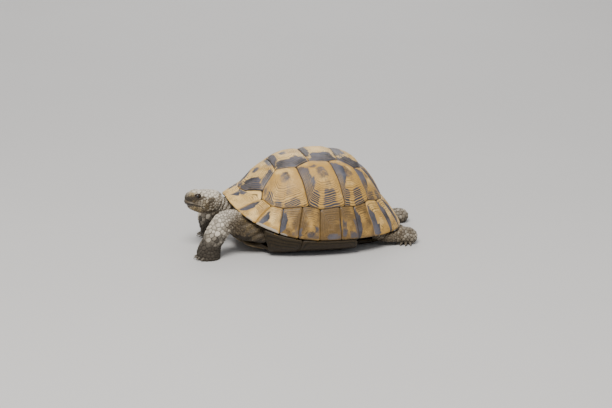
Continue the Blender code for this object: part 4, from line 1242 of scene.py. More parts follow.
def skin_marks(p):
    """How pale, how yellow and how soiled the skin and its scales are at each place."""
    x, w, z = p.T
    wide = np.abs(w)
    mottle, patchy = wobble(p, 9.0, 21, 3), wobble(p, 4.0, 23, 2)
    above = z - mouth_height(x)
    eye = EYE["x"], 9.3
    # Head: pale crown, grey-brown cheeks, dark bridle from the nostril through the eye, dusky jaw
    head = (1 - ease(x, -106, -102)) * (1 - ease(wide, 14.5, 17)) * ease(z, 34, 37)
    crown = ease(z + 0.15 * (x + 125), 58.0, 61.2)
    bridle = bell(z - 56.4 - 0.06 * (x + 130), 2.9) * ease(-x, 124, 128) * ease(wide, 3.0, 5.5)
    cheek = ease(x, -122, -120) * (1 - ease(x, -110, -107)) * ease(wide, 7.5, 10)
    stripes = cheek * (0.5 + 0.5 * waves(z - 0.12 * x + 0.8 * patchy, 3.1)) * (1 - crown)
    pale = 0.24 + 0.14 * mottle
    pale = pale + head * (0.22 + 0.88 * crown - 0.26 * (1 - ease(above, -3.0, 0.5)))
    pale = pale - head * (0.95 * bridle + 0.95 * near(p, *eye, EYE["z"] - 0.3, 3.9) + 0.52 * stripes)
    pale = pale + head * 0.16 * near(p, -137.5, 2.0, 54.0, 3.2)
    yellow = head * sum(strength * near(p, *place) for strength, *place in YELLOW_PATCHES) + 0.14 * mottle
    # Limbs: paler down the front of the forelegs, with painted shade in the armpits, deepest low down
    limbs = ease(wide, 16, 21)
    fore = limbs * (1 - ease(x, -80, -72))
    front = fore * ease(-(x + 0.35 * z), 88, 98)
    pale = pale + front * 0.40 * ease(z, 11, 20) * (0.85 + 0.3 * patchy)
    pale = pale + fore * 0.10 + limbs * (x < -70) * 0.30 * ease(z, 36, 45)
    # Painted shade in the armpits, deepest low down
    armpit = limbs * ease(x, -94, -78) * (x < 0)
    deep = 1 - ease(z + 0.25 * (x + 80), 14, 32)
    pale = pale - armpit * (0.20 * (1 - ease(z, 36, 44)) + 0.30 * deep)
    yellow = yellow + 0.25 * armpit * ease(z, 20, 34) * (0.5 + mottle)
    # Neck: paler on its folds, with painted shade in its creases
    neck = ease(x, -106, -100) * (1 - ease(x, -70, -60)) * (1 - limbs)
    pale = pale + neck * (0.28 + 0.22 * neck_folds(p))
    hind = (x > 30) * limbs
    pale = pale + hind * (-0.08 + 0.16 * ease(x, 84, 92) + 0.12 * patchy)
    pale = pale - fore * 0.30 * ease(x, -104, -90) * (1 - ease(z, 44, 50))
    # Soil on the feet and the breast, darker round the eye and the nose, and painted shade low in the armpits
    # and on the far hind foot
    face = 0.80 * (bridle + near(p, *eye, EYE["z"] - 0.2, 3.6) + near(p, -138.0, 0.0, 54.5, 7.0))
    face = face + 0.24 * stripes
    soil_and_shade = np.max([
        fore * (1 - ease(z + 8.0 * mottle + 6.0 * patchy, 13.0, 34.0)),
        # Hind feet: soil, and on the far (right) foot more again, painted shade
        hind * (0.55 + 0.25 * (w < 0)) * (1 - ease(z + 3 * mottle + 2 * patchy, 1.5, 11)),
        0.35 * (1 - ease(z, 2, 14)) * (x < 0) * (wide < 20),
        head * np.clip(face, 0, 0.8),
        # painted shade low in the armpits
        0.85 * armpit * (1 - ease(z - 0.15 * (x + 80) + 2 * patchy, 11, 21)),
    ], axis=0)
    return {"pale": np.clip(pale, 0, 1), "yellow": np.clip(yellow, 0, 1), "soil_and_shade": np.clip(soil_and_shade, 0, 1)}


def skin_material(settings):
    """Soft skin between the scales: matt, creased, darker than the scales."""
    material, tree, shader = new_material("skin between the scales")
    place = object_place(tree)
    pale, yellow, soil_and_shade = attributes(tree, "pale", "yellow", "soil_and_shade")
    fine = noise(place, 700.0, 4.0, 0.6)
    body = mixed(between(pale, 0.1, 1.0), shade(settings.brown, 0.62), shade(settings.pale, 0.52))
    body = mixed(yellow * 0.6, body, shade(settings.yellow, 0.5))
    body = mixed(between(fine, 0.35, 0.7, 0.0, 0.45), body, shade(settings.brown, 0.4))
    # Soil, and painted shade where the mask carries it
    body = mixed(soil_and_shade, body, shade(settings.soil_and_shade))
    paint(shader, place, body, dust=0.25)
    connect(shader, {"Roughness": between(fine, 0.2, 0.8, 0.62, 0.82)})
    roughen(shader, place, 0.6, 0.0002, coarse=900.0, fine=3500.0)
    return material


def flesh_masses(inset):
    """The limbs, tail, armpits, head with neck and trunk, each as a closed body."""
    limbs = (LEFT_FORELEG, RIGHT_FORELEG, LEFT_HIND_LEG, RIGHT_HIND_LEG, TAIL)
    masses = [body_from(tube(rows, inset)) for rows in limbs]
    for side in SIDES.values():
        masses.append(body_from(tube([(x, side * w, *rest) for x, w, *rest in ARMPIT], inset)))
    masses.append(body_from(upright(HEAD, inset)))
    trunk = bpy.data.objects.new("mass", bpy.data.objects["trunk"].data.copy())
    bpy.context.scene.collection.objects.link(trunk)
    with editing(trunk) as work:
        bmesh.ops.remove_doubles(work, verts=work.verts, dist=1e-6)
    return [*masses, trunk]


class TORTOISE_OT_skin(Operator):
    """Builds the one skin of the head, neck, trunk, legs and tail"""

    bl_idname = "tortoise.skin"
    bl_label = "Skin"

    def execute(self, context):
        settings = context.scene.tortoise_flesh
        skin = joined(flesh_masses(settings.inset / MM), "skin")
        apply(skin, "REMESH", mode="VOXEL", voxel_size=settings.voxel, use_smooth_shade=True)
        apply(skin, "SMOOTH", factor=0.5, iterations=7)
        points, _ = read_points(skin)
        points[:, 2] = np.maximum(points[:, 2], SOLE)
        write_points(skin, points)
        # Coarser where the shell hides it, finer over the head, finest round the eyes
        hidden = skin.vertex_groups.new(name="hidden")
        inside = np.nonzero((points[:, 0] > HIDDEN_SKIN[0]) & (points[:, 0] < HIDDEN_SKIN[1]))[0]
        hidden.add(inside.tolist(), 1.0, "REPLACE")
        apply(skin, "DECIMATE", ratio=max(0.3, 1 - 0.93 * len(inside) / len(points)), vertex_group="hidden",
              use_collapse_triangulate=False)
        finer(skin, lambda x, w, z: x < FINER_HEAD["end"] and abs(w) < FINER_HEAD["half_wide"]
              and z > FINER_HEAD["floor"])
        finer(skin, lambda x, w, z: abs(x - EYE["x"]) < FINER_EYES["half_long"]
              and abs(z - EYE["z"]) < FINER_EYES["half_high"] and abs(w) > FINER_EYES["from_midline"])
        apply(skin, "SMOOTH", factor=0.3, iterations=2)
        points, normals = read_points(skin)
        normals = normals * FLIP_W
        points = shape_skin(unplaced(points), normals)
        head = (points[:, 0] < -101) & (np.abs(points[:, 1]) < 16) & (points[:, 2] > 33)
        points[head] = shape_head(points[head], normals[head])
        points[:, 2] = np.maximum(points[:, 2], SOLE)
        write_points(skin, placed(points))
        skin.data.shade_smooth()
        put_values(skin, **skin_marks(points))
        finish_piece(skin, skin_material(settings),
                     ("head", "lower_jaw", "neck", "trunk", "tail", "foreleg_left", "foreleg_right",
                      "hind_leg_left", "hind_leg_right"))
        return {"FINISHED"}


# ---------------------------------------------------------------- scales


def soft_place(p):
    """1 where scales are mere grains in soft skin, as in the armpits, or lie flat, as on the face."""
    x, w, z = p.T
    limbs = ease(np.abs(w), 15, 20)
    armpit = limbs * ease(x, -92, -82) * (x < 0) * (1 - ease(z, 40, 46))
    return np.maximum(armpit, 0.75 * (1 - ease(x, -108, -102)) * (1 - limbs))


def scale_spacing(p, n):
    """Distance between scale middles: fine round the eyes, coarse on the brow and the forearms."""
    x, w, z = p.T
    wide = np.abs(w)
    size = np.full(len(p), USUAL_SCALE)
    limbs = ease(wide, 15, 20)
    fore = limbs * (x < -20)
    front = fore * ease(-(x + 0.35 * z), 86, 98) * (1 - ease(n[:, 0], 0.15, 0.6))
    size += 2.2 * front * ease(z, 8, 16) * (1 + 0.6 * wobble(p, 5.0, 31, 1)) + 0.3 * fore
    size -= 0.5 * limbs * ease(x, -90, -80) * (x < 0)
    size += 1.3 * fore * (1 - ease(z, 6, 12)) * (1 - ease(n[:, 0], 0.3, 0.8))
    size += limbs * (x > 30) * (0.2 + 1.3 * ease(x, 80, 92))
    size -= 0.55 * ease(x, -106, -100) * (1 - limbs) * (x < -60)
    head = (1 - ease(x, -106, -101)) * (1 - limbs) * ease(z, 33, 36)
    crown = head * ease(n[:, 2], 0.45, 0.8) * ease(z, 57, 61)
    size += head * (0.15 + 0.85 * ease(wide, 6, 10) * ease(z, 44, 50) * ease(x, -124, -119)) + crown * 2.3
    away = np.hypot((x - EYE["x"]) / 1.25, z - EYE["z"])
    size += (EYELID_SCALE - size) * head * (1 - ease(away, 2.6, 5.0)) * ease(wide, 4, 6)
    away = np.hypot(x - EARDRUM[0], z - EARDRUM[1])
    return size + (EARDRUM_SCALE - size) * head * (1 - ease(away, 2.4, 3.6))


def under_beak(x, z):
    """True where horn covers the jaws."""
    above = z - mouth_height(x)
    reach = 1 - ease(x, -135.5, -121.5)
    return (above < 0.9 + 3.4 * reach) & (above > -0.9 - 3.0 * reach) & (x < -120.5)


def bare(p, n):
    """True where no scale grows: inside the shell, and on the beak, soles, eyes and nostrils."""
    x, w, z = p.T
    wide = np.abs(w)
    inside = (x > -50) & (x < 42)
    sole = (z < 1.0) & (n[:, 2] < -0.6)
    dx, dz = (x - EYE["x"]) / EYE["half_long"], (z - EYE["z"] - EYE["rise"]) / EYE["half_high"]
    eye = (np.hypot(dx, dz) < 1.12) & (wide > 4) & (x < -118)
    nostril = (x - NOSTRIL[0]) ** 2 + (wide - NOSTRIL[1]) ** 2 + (z - NOSTRIL[2]) ** 2 <= 1.0
    return inside | under_beak(x, z) | sole | eye | nostril


def under_shell(p, cloud, normals, shell_tree):
    """True where the shell lies close over the skin."""
    covered = np.zeros(len(p), bool)
    for i in np.nonzero((p[:, 0] > -100) & (p[:, 0] < 110))[0]:
        place, up = Vector(cloud[i]), Vector(normals[i])
        covered[i] = shell_tree.ray_cast(place + up * 0.3, up, SHELL_REACH)[0] is not None
    return covered


def search_tree(places):
    tree = KDTree(len(places))
    for k, place in enumerate(places):
        tree.insert(place, k)
    tree.balance()
    return tree


def scatter(points, spacing, seed, first):
    """Picks well-spaced places from a dense cloud, then settles each in the middle of the places near it.

    The places numbered in first are taken before all others and stay where they are.
    """
    cells = [tuple(cell) for cell in (points // BUCKET).astype(int).tolist()]
    places, gaps = points.tolist(), spacing.tolist()
    buckets, chosen = {}, list(first)
    for i in first:
        buckets.setdefault(cells[i], []).append(i)

    def is_clear(i):
        x, y, z = places[i]
        reach = int(gaps[i] // BUCKET) + 1
        for cell in itertools.product(*(range(c - reach, c + reach + 1) for c in cells[i])):
            for j in buckets.get(cell, ()):
                a, b, c = places[j]
                if (x - a) ** 2 + (y - b) ** 2 + (z - c) ** 2 < (CLOSENESS * (gaps[i] + gaps[j])) ** 2:
                    return False
        return True

    for i in np.random.default_rng(seed).permutation(len(points)).tolist():
        if is_clear(i):
            buckets.setdefault(cells[i], []).append(i)
            chosen.append(i)
    middles = points[chosen].copy()
    for _ in range(2):
        tree = search_tree(middles)
        owner = np.array([tree.find(q)[1] for q in points])
        weight = np.bincount(owner, minlength=len(middles))
        for axis in range(3):
            total = np.bincount(owner, weights=points[:, axis], minlength=len(middles))
            middles[:, axis] = np.where(weight > 0, total / np.maximum(weight, 1), middles[:, axis])
        middles[: len(first)] = points[first]
    return middles


def dense_cloud(skin, count, seed):
    """Random places all over the skin, evenly spread by area, and how the skin faces there."""
    mesh = skin.data
    mesh.calc_loop_triangles()
    corners = np.empty(len(mesh.loop_triangles) * 3, np.int32)
    mesh.loop_triangles.foreach_get("vertices", corners)
    corners = corners.reshape(-1, 3)
    points, normals = (values[corners] for values in read_points(skin))
    area = np.linalg.norm(np.cross(points[:, 1] - points[:, 0], points[:, 2] - points[:, 0]), axis=1)
    rng = np.random.default_rng(seed)
    pick = rng.choice(len(area), count, p=area / area.sum())
    r1, r2 = np.sqrt(rng.random(count)), rng.random(count)
    shares = np.stack([1 - r1, r1 * (1 - r2), r1 * r2], -1)[..., None]
    place, normal = ((shares * values[pick]).sum(1) for values in (points, normals))
    return place, normal / np.maximum(np.linalg.norm(normal, axis=1, keepdims=True), 1e-9)


def on_skin(skin_tree, points):
    """The nearest place on the skin to each point, and how the skin faces there."""
    found = np.array([(*place, *normal) for place, normal, _, _ in map(skin_tree.find_nearest, points)])
    return found[:, :3], found[:, 3:]


def cell_outlines(middles, normals, spacing, directions, gap, neighbours=14):
    """Each scale's reach in each direction: half way to its neighbours, in proportion to their sizes."""
    tree = search_tree(middles)
    found = np.array([[j for _, j, _ in tree.find_n(q, neighbours + 1)] for q in middles])[:, 1:]
    aid = np.where(np.abs(normals[:, :1]) < 0.9, np.array([[1.0, 0, 0]]), np.array([[0, 1.0, 0]]))
    first = np.cross(normals, aid)
    first /= np.linalg.norm(first, axis=1, keepdims=True)
    second = np.cross(normals, first)
    to = middles[found] - middles[:, None]
    a, b = np.einsum("nkj,nj->nk", to, first), np.einsum("nkj,nj->nk", to, second)
    same_side = np.einsum("nkj,nj->nk", normals[found], normals) > 0.1
    away = np.where(same_side, np.sqrt(np.hypot(a, b) * np.linalg.norm(to, axis=2)), FAR)
    share = spacing[:, None] / (spacing[:, None] + spacing[found])
    angles = np.arange(directions) * 2 * math.pi / directions
    facing = np.cos(np.arctan2(b, a)[..., None] - angles)
    limit = np.where(facing > 0.12, (share * away)[..., None] / np.maximum(facing, 0.12), FAR)
    reach = np.minimum(limit.min(1), 0.75 * spacing[:, None])
    return np.maximum(reach - gap * (0.5 + 0.12 * spacing[:, None]), 0.12 * spacing[:, None]), first, second


def unwrapped(p, region):
    """A place on the coat's map: along a limb and round it."""
    x, w, z = p.T
    side = 40 if "left" in region else -40 if "right" in region else 0
    if region in ("head", "neck"):
        along, turn = (x + 145) / 95, np.arctan2(w, z - 48)
    elif "foreleg" in region:
        middle = np.interp(z, (0, 12, 30, 40), (-122, -122, -114, -98)) + (18 if side < 0 else 0)
        along, turn = 0.9 * (x - z + 160) / 130, np.arctan2(w - side, x - middle)
    else:
        along, turn = (x + 60) / 190, np.arctan2(w - side, z - 9)
    room = 1 - 2 * MAP_MARGIN
    return along * room + MAP_MARGIN, (turn / (2 * math.pi) + 0.5) * room + MAP_MARGIN


def scale_material(settings):
    """Horny scales: a paler worn middle, a dark rim in the crease, soil, painted shade in the armpits and a
    dull shine.
    """
    material, tree, shader = new_material("scales")
    place = object_place(tree)
    pale, yellow, soil_and_shade, out, vary = attributes(tree, "pale", "yellow", "soil_and_shade", "out", "vary")
    fine = noise(place, 1100.0, 4.0, 0.62)
    tone = pale + uneven(vary, pale * 0.75)
    body = mixed(between(tone, 0.0, 1.0), shade(settings.brown), shade(settings.pale))
    body = mixed(yellow * between(vary, 0.1, 0.8, 0.4, 1.0), body, shade(settings.yellow))
    body = mixed(between(fine, 0.45, 0.8, 0.0, 0.4), body, shade(settings.brown, 0.6))
    rim = between(out + uneven(fine, 0.3), 0.84, 1.1)
    body = mixed(rim * 0.5, body, shade(settings.brown, 0.75))
    # Soil crust, and painted shade where the skin's marks carry it
    crust_and_shade = between(soil_and_shade + uneven(fine, soil_and_shade * 0.8, 0.55) + uneven(vary, 0.4), 0.12, 0.8)
    body = mixed(crust_and_shade * 0.92, body, shade(settings.soil_and_shade))
    paint(shader, place, body, dust=0.12)
    connect(shader, {"Roughness": between(fine, 0.25, 0.75, 0.42, 0.6) + soil_and_shade * 0.3})
    roughen(shader, place, 0.5, 0.00015, grain=0.8, coarse=1100.0, fine=4200.0)
    return material


def scale_rings(middles, normals, spacing, outlines, lie, height, skin_tree):
    """Each scale's points from its top out: a low dome, its hind edge raised, its foot in the skin."""
    reach, first, second = outlines
    angles = np.arange(reach.shape[1]) * 2 * math.pi / reach.shape[1]
    spokes = np.cos(angles)[None, :, None] * first[:, None] + np.sin(angles)[None, :, None] * second[:, None]
    lift = np.clip((spacing - 2.4) / 2.5, 0.1, 1.0) * 0.32 * np.minimum(1, spacing / 3)
    blocks = []
    for out, up in ((0.0, 1.0), *zip(SCALE_RINGS, SCALE_RISES)):
        spread = spokes if out else spokes[:, :1]
        around = middles[:, None] + spread * (reach[:, : spread.shape[1]] * out)[..., None]
        seats, ups = on_skin(skin_tree, around.reshape(-1, 3))
        if up > 0:
            tilt = lift[:, None] * np.einsum("nkj,nj->nk", spread, lie) * out
            rise = height[:, None] * up + np.maximum(tilt, -0.6 * height[:, None] * up)
        else:
            rise = np.full(spread.shape[:2], up * 0.55)
        blocks.append((seats + ups * rise.reshape(-1, 1)).reshape(*spread.shape))
    return np.concatenate([*blocks, (middles - normals * 0.4)[:, None]], axis=1)


def bake_map(obj, roots, region, angles):
    """The baking map: each scale keeps a small patch of its own, about its root's place."""
    circle = np.stack([np.cos(angles), np.sin(angles)], -1)
    circle = np.concatenate([[[0, 0]], *[circle * r for r in SCALE_RINGS], [[0, 0]]])
    spread = np.stack(unwrapped(roots, region), -1)[:, None] + MAP_PATCH * circle[None]
    corner = np.empty(len(obj.data.loops), np.int32)
    obj.data.loops.foreach_get("vertex_index", corner)
    layer = obj.data.uv_layers.new(name="OFBake")
    layer.data.foreach_set("uv", spread.reshape(-1, 2)[corner].astype(np.float32).ravel())


def coat_piece(region, skin_tree, middles, normals, spacing, outlines, settings, material, seed):
    """All the scales of one region as one mesh: low domes whose edges dip into the skin."""
    count, directions = outlines[0].shape
    # Scales point down the limb or back along the neck, and their hind edges stand up a little over the next
    lie = np.tile(DOWN_THE_LIMB if "leg" in region else ALONG_THE_NECK, (count, 1))
    lie -= np.einsum("ij,ij->i", lie, normals)[:, None] * normals
    lie /= np.maximum(np.linalg.norm(lie, axis=1, keepdims=True), 1e-6)
    vary = np.random.default_rng(seed).random(count)
    roots = unplaced(middles)
    height = settings.scale_height / MM * np.clip(spacing / USUAL_SCALE, 0.45, 1.5) * (0.8 + 0.4 * vary)
    height *= 1 - 0.6 * soft_place(roots)
    points = scale_rings(middles, normals, spacing, outlines, lie, height, skin_tree)
    each = points.shape[1]
    quads = ring_quads(3, directions, 1, True)
    tris = np.concatenate([fan(0, directions, 1, True), fan(each - 1, directions, 1 + 2 * directions)])
    starts = (np.arange(count) * each)[:, None, None]
    obj = add_mesh(f"scales_{region}", points.reshape(-1, 3), (starts + quads).reshape(-1, 4),
                   (starts + tris).reshape(-1, 3))
    out = np.repeat([0.0, *SCALE_RINGS[:2], 1.1, 1.1], [1, directions, directions, directions, 1])
    by_scale = {**skin_marks(roots), "vary": vary}
    put_values(obj, out=np.tile(out, count),
               **{key: np.repeat(values, each) for key, values in by_scale.items()})
    bake_map(obj, roots, region, np.arange(directions) * 2 * math.pi / directions)
    finish_piece(obj, material)


def coat_regions(p):
    """Which scales belong to each piece of the coat."""
    x, w, z = p.T
    wide = np.abs(w)
    head = (x < -102) & (wide < 17) & (z > 33)
    neck = ~head & (x < -50) & (wide < 16.5)
    fore = ~head & ~neck & (x < 0)
    return {
        "head": head, "neck": neck, "foreleg_left": fore & (w > 0), "foreleg_right": fore & (w < 0),
        "hind_leg_left": (x > 0) & (w > 17), "hind_leg_right": (x > 0) & (w < -17),
        "tail": (x > 0) & (wide <= 17),
    }


def shield_places(p, n):
    """The place in the cloud nearest to each large shield of the head, and the shields' sizes."""
    chosen, sizes = [], []
    for x, w, size in HEAD_SHIELDS:
        for side in {1, -1} if w else {1}:
            miss = np.hypot(p[:, 0] - x, p[:, 1] - side * w) + FAR * ((n[:, 2] < 0.2) | (p[:, 2] < 50))
            chosen.append(int(np.argmin(miss)))
            sizes.append(size)
    return chosen, sizes


class TORTOISE_OT_scales(Operator):
    """Builds the coat of scales over the head, neck, legs, tail and armpits"""

    bl_idname = "tortoise.scales"
    bl_label = "Scales"

    def execute(self, context):
        settings = context.scene.tortoise_flesh
        skin = bpy.data.objects["skin"]
        skin_tree = surface_tree(skin)
        shell_tree = surface_tree(*(o for o in bpy.data.objects if o.name.startswith(("scute_", "plate_"))))
        cloud, normals = dense_cloud(skin, count=240000, seed=3)
        p, n = unplaced(cloud), normals * FLIP_W
        keep = ~bare(p, n)
        keep[keep] = ~under_shell(p[keep], cloud[keep], normals[keep], shell_tree)
        cloud, p, n = cloud[keep], p[keep], n[keep]
        spacing = scale_spacing(p, n)
        shields, shield_sizes = shield_places(p, n)
        spacing[shields] = shield_sizes
        seats, ups = on_skin(skin_tree, scatter(cloud, spacing, seed=11, first=shields))
        p = unplaced(seats)
        spacing = scale_spacing(p, ups * FLIP_W)
        spacing[: len(shields)] = shield_sizes
        outlines = cell_outlines(seats, ups, spacing, directions=10, gap=0.1)
        material = scale_material(settings)
        for seed, (region, part) in enumerate(coat_regions(p).items(), 40):
            coat_piece(region, skin_tree, seats[part], ups[part], spacing[part],
                       [values[part] for values in outlines], settings, material, seed)
        return {"FINISHED"}


# ---------------------------------------------------------------- eyes, claws and beak


def eye_material(settings):
    """A wet, nearly black eye with a narrow brown iris round its pupil."""
    material, tree, shader = new_material("wet eye")
    (ring,) = attributes(tree, "ring")
    fleck = noise(object_place(tree), 2600.0)
    iris = mixed(between(fleck, 0.35, 0.7), shade(settings.iris), shade(settings.iris, 0.3))
    body = mixed(between(ring, 0.44, 0.52), (0.002, 0.002, 0.002), iris)
    body = mixed(between(ring, 0.78, 0.9), body, (0.012, 0.008, 0.006))
    connect(shader, {"Base Color": body, "Roughness": 0.22, "Coat Weight": 0.4, "Coat Roughness": 0.03})
    return material


class TORTOISE_OT_eyes(Operator):
    """Builds the two eyes"""

    bl_idname = "tortoise.eyes"
    bl_label = "Eyes"

    def execute(self, context):
        material = eye_material(context.scene.tortoise_flesh)
        for word, side in SIDES.items():
            bpy.ops.object.select_all(action="DESELECT")
            bpy.ops.mesh.primitive_uv_sphere_add(segments=36, ring_count=24, radius=EYE["radius"] * MM,
                                                 location=(0, 0, 0), rotation=(math.radians(90), 0, 0))
            eye = context.object
            eye.name = f"eyeball_{word}"
            bpy.ops.object.transform_apply(location=True, rotation=True, scale=True)
            points, _ = read_points(eye)
            aim = np.array([-0.16, -side, 0.12])
            aim /= np.linalg.norm(aim)
            toward = points @ aim / EYE["radius"]
            points += aim * (EYE["cornea"] * ease(toward, 0.72, 1.0))[:, None]
            write_points(eye, points + placed(np.array([EYE["x"], side * EYE["w"], EYE["z"]])))
            eye.data.shade_smooth()
            put_values(eye, ring=np.arccos(np.clip(toward, -1, 1)))
            finish_piece(eye, material, (f"eye_{word}",))
        return {"FINISHED"}


def claw_material(name, dark, light):
    """Dark horn, paler and worn at the tips, with lengthwise streaks."""
    material, tree, shader = new_material(name)
    place = object_place(tree)
    (tip,) = attributes(tree, "tip")
    streak = noise(place, 800.0, 4.0, 0.6, 0.5)
    paint(shader, place, mixed(between(tip + uneven(streak, 0.9), 0.3, 0.95), dark, light), dust=0.35)
    connect(shader, {"Roughness": between(streak, 0.3, 0.7, 0.38, 0.6)})
    roughen(shader, place, 0.5, 0.00015, grain=0.6, coarse=900.0, fine=3600.0)
    return material


def one_claw(root, aim, long, half_wide, bend):
    """A new cone, cut into lengths, flattened underneath and bent down towards its tip."""
    bpy.ops.object.select_all(action="DESELECT")
    bpy.ops.mesh.primitive_cone_add(vertices=14, radius1=1.0, radius2=0.0, depth=1.0, location=(0, 0, 0.5))
    claw = bpy.context.object
    bpy.ops.object.transform_apply(location=True, rotation=True, scale=True)
    bpy.ops.object.mode_set(mode="EDIT")
    bpy.ops.mesh.select_all(action="SELECT")
    bpy.ops.mesh.subdivide(number_cuts=5)
    bpy.ops.object.mode_set(mode="OBJECT")
    co = read_points(claw)[0] * MM
    t = np.clip(co[:, 2], 0, 1)
    radius = np.hypot(co[:, 0], co[:, 1])
    full = np.where(1 - t > 1e-6, radius / np.maximum(1 - t, 1e-6), 0)
    wide = half_wide * (1 - 0.25 * t - 0.62 * t**3) * np.minimum(full, 1)
    heading = np.where(radius[:, None] > 1e-9, co[:, :2] / np.maximum(radius, 1e-9)[:, None], 0)
    at_tip = t > 0.999
    side = np.where(at_tip, 0, heading[:, 0] * wide)
    up = np.where(at_tip, 0, heading[:, 1] * wide * 0.82)
    up = np.where(up < 0, up * 0.7, up)
    aim = np.array(aim) / np.linalg.norm(aim)
    across = np.cross(aim, (0, 0, 1.0))
    across /= np.linalg.norm(across)
    top = np.cross(across, aim)
    place = root + aim * (t * long)[:, None] + across * side[:, None] + top * (up - bend * t**2)[:, None]
    write_points(claw, place)
    put_values(claw, tip=t)
    return claw


class TORTOISE_OT_claws(Operator):
    """Builds the claws of each foot"""

    bl_idname = "tortoise.claws"
    bl_label = "Claws"

    def execute(self, context):
        settings = context.scene.tortoise_flesh
        material = claw_material("claw horn", shade(settings.claw), (0.11, 0.088, 0.06))
        for foot, ((x, w, z), radius, bearings) in FEET.items():
            mirror = math.copysign(1, w)
            mean = sum(bearings) / len(bearings)
            claws = []
            for number, bearing in enumerate(bearings):
                seat, turn = math.radians(bearing), math.radians(mean + (bearing - mean) * 0.7)
                out = radius - CLAW["sunk"]
                place = np.array([x + out * math.cos(seat), w + mirror * out * math.sin(seat), z + 0.5])
                long = settings.claw_length / MM + 2.6 - 0.5 * abs(number - (len(bearings) - 1) / 2)
                aim = (math.cos(turn), -mirror * math.sin(turn), -0.12)
                claws.append(one_claw(placed(place), aim, long, CLAW["half_wide"], CLAW["bend"]))
            piece = joined(claws, f"claws_{foot}")
            points, _ = read_points(piece)
            points[:, 2] = np.maximum(points[:, 2], 0.15)
            write_points(piece, points)
            piece.data.shade_smooth()
            finish_piece(piece, material)
        return {"FINISHED"}


def horn_band(name, skin_tree, side_of_mouth, depth, thinning, material):
    """A jaw's horn edge: a band round the front of the head, laid on the skin and closed behind."""
    reach = math.radians(BEAK["half_turn"])
    turns, steps = np.linspace(-reach, reach, 97), np.linspace(0, 1, 9)
    swell = np.sin(np.clip(steps * 1.25 + 0.18, 0, 1) * math.pi) ** 0.5
    middle = placed(np.array([BEAK["middle"], 0.0, 0.0]))
    outer, inner = [], []
    for turn in turns:
        away = abs(turn) / reach
        direction = Vector((-math.cos(turn), -math.sin(turn), 0))
        fade = 1 - ease(away, 0.86, 1.0)
        x = BEAK["front"]
        for step, stand in zip(steps, swell):
            for _ in range(2):
                drop = 0.12 + step * (depth - thinning * ease(away, 0.15, 0.9))
                height = mouth_height(x) + side_of_mouth * drop
                start = Vector((middle[0], middle[1], height)) + direction * 30
                hit, normal, _, _ = skin_tree.ray_cast(start, -direction)
                x = hit[0] + ORIGIN_X
            outer.append(np.array(hit) + np.array(normal) * (0.04 + 0.42 * stand * fade))
            inner.append(np.array(hit) - np.array(normal) * 0.5)
    outer, inner = np.array(outer), np.array(inner)
    if side_of_mouth > 0:
        # The hooked tip, and the edge that comes down over the lower jaw
        down = np.tile(1 - ease(steps, 0.0, 0.45), len(turns))
        front = np.repeat(bell(turns, math.radians(12)), len(steps))
        for block in (outer, inner):
            block[:, 2] -= down * (0.45 + 1.1 * front)
    n, m = len(turns), len(steps)
    grid = np.arange(n * m).reshape(n, m)
    front_faces = np.stack([grid[:-1, :-1], grid[1:, :-1], grid[1:, 1:], grid[:-1, 1:]], -1).reshape(-1, 4)
    back_faces = front_faces[:, ::-1] + n * m
    rim = np.concatenate([grid[:, 0], grid[-1, 1:], grid[-2::-1, -1], grid[0, -2:0:-1]])
    ahead = np.roll(rim, -1)
    wall = np.stack([rim, rim + n * m, ahead + n * m, ahead], -1)
    obj = add_mesh(name, np.concatenate([outer, inner]), np.concatenate([front_faces, back_faces, wall]))
    face_outwards(obj)
    put_values(obj, tip=np.tile(1 - steps, 2 * n))
    finish_piece(obj, material)


class TORTOISE_OT_beak(Operator):
    """Builds the horn edges of the upper and lower jaws"""

    bl_idname = "tortoise.beak"
    bl_label = "Beak"

    def execute(self, context):
        tree = surface_tree(bpy.data.objects["skin"])
        material = claw_material("beak horn", (0.105, 0.08, 0.048), (0.018, 0.013, 0.009))
        horn_band("beak_upper", tree, 1, 3.4, 2.4, material)
        horn_band("beak_lower", tree, -1, 3.0, 2.2, material)
        return {"FINISHED"}


# ---------------------------------------------------------------- stage


class TORTOISE_PG_stage(PropertyGroup):
    """The camera: its turn, height, distance, lens and the middle of its view."""

    azimuth: FloatProperty(name="Azimuth", description="Camera's turn about the tortoise",
                           default=math.radians(-15), subtype="ANGLE")
    elevation: FloatProperty(name="Elevation", description="Camera's height angle", default=math.radians(16),
                             subtype="ANGLE")
    distance: length("Distance", "From the camera to the middle of the view", 2.449)
    lens: FloatProperty(name="Lens", description="Focal length in millimetres", default=135.0, min=10)
    middle: FloatVectorProperty(name="Middle", description="Point in the middle of the view",
                                default=(0.00403, 0.0, 0.0393), subtype="XYZ", unit="LENGTH")


# Each light: its place, size, power and colour
LIGHTS = {
    "key": ((-0.6, -1.1, 1.9), 1.0, 58, (1.0, 0.97, 0.92)),
    "fill": ((1.6, -1.6, 0.9), 1.6, 5, (0.9, 0.95, 1.0)),
    "rim": ((0.4, 1.7, 1.2), 1.2, 14, (1.0, 0.98, 0.95)),
}


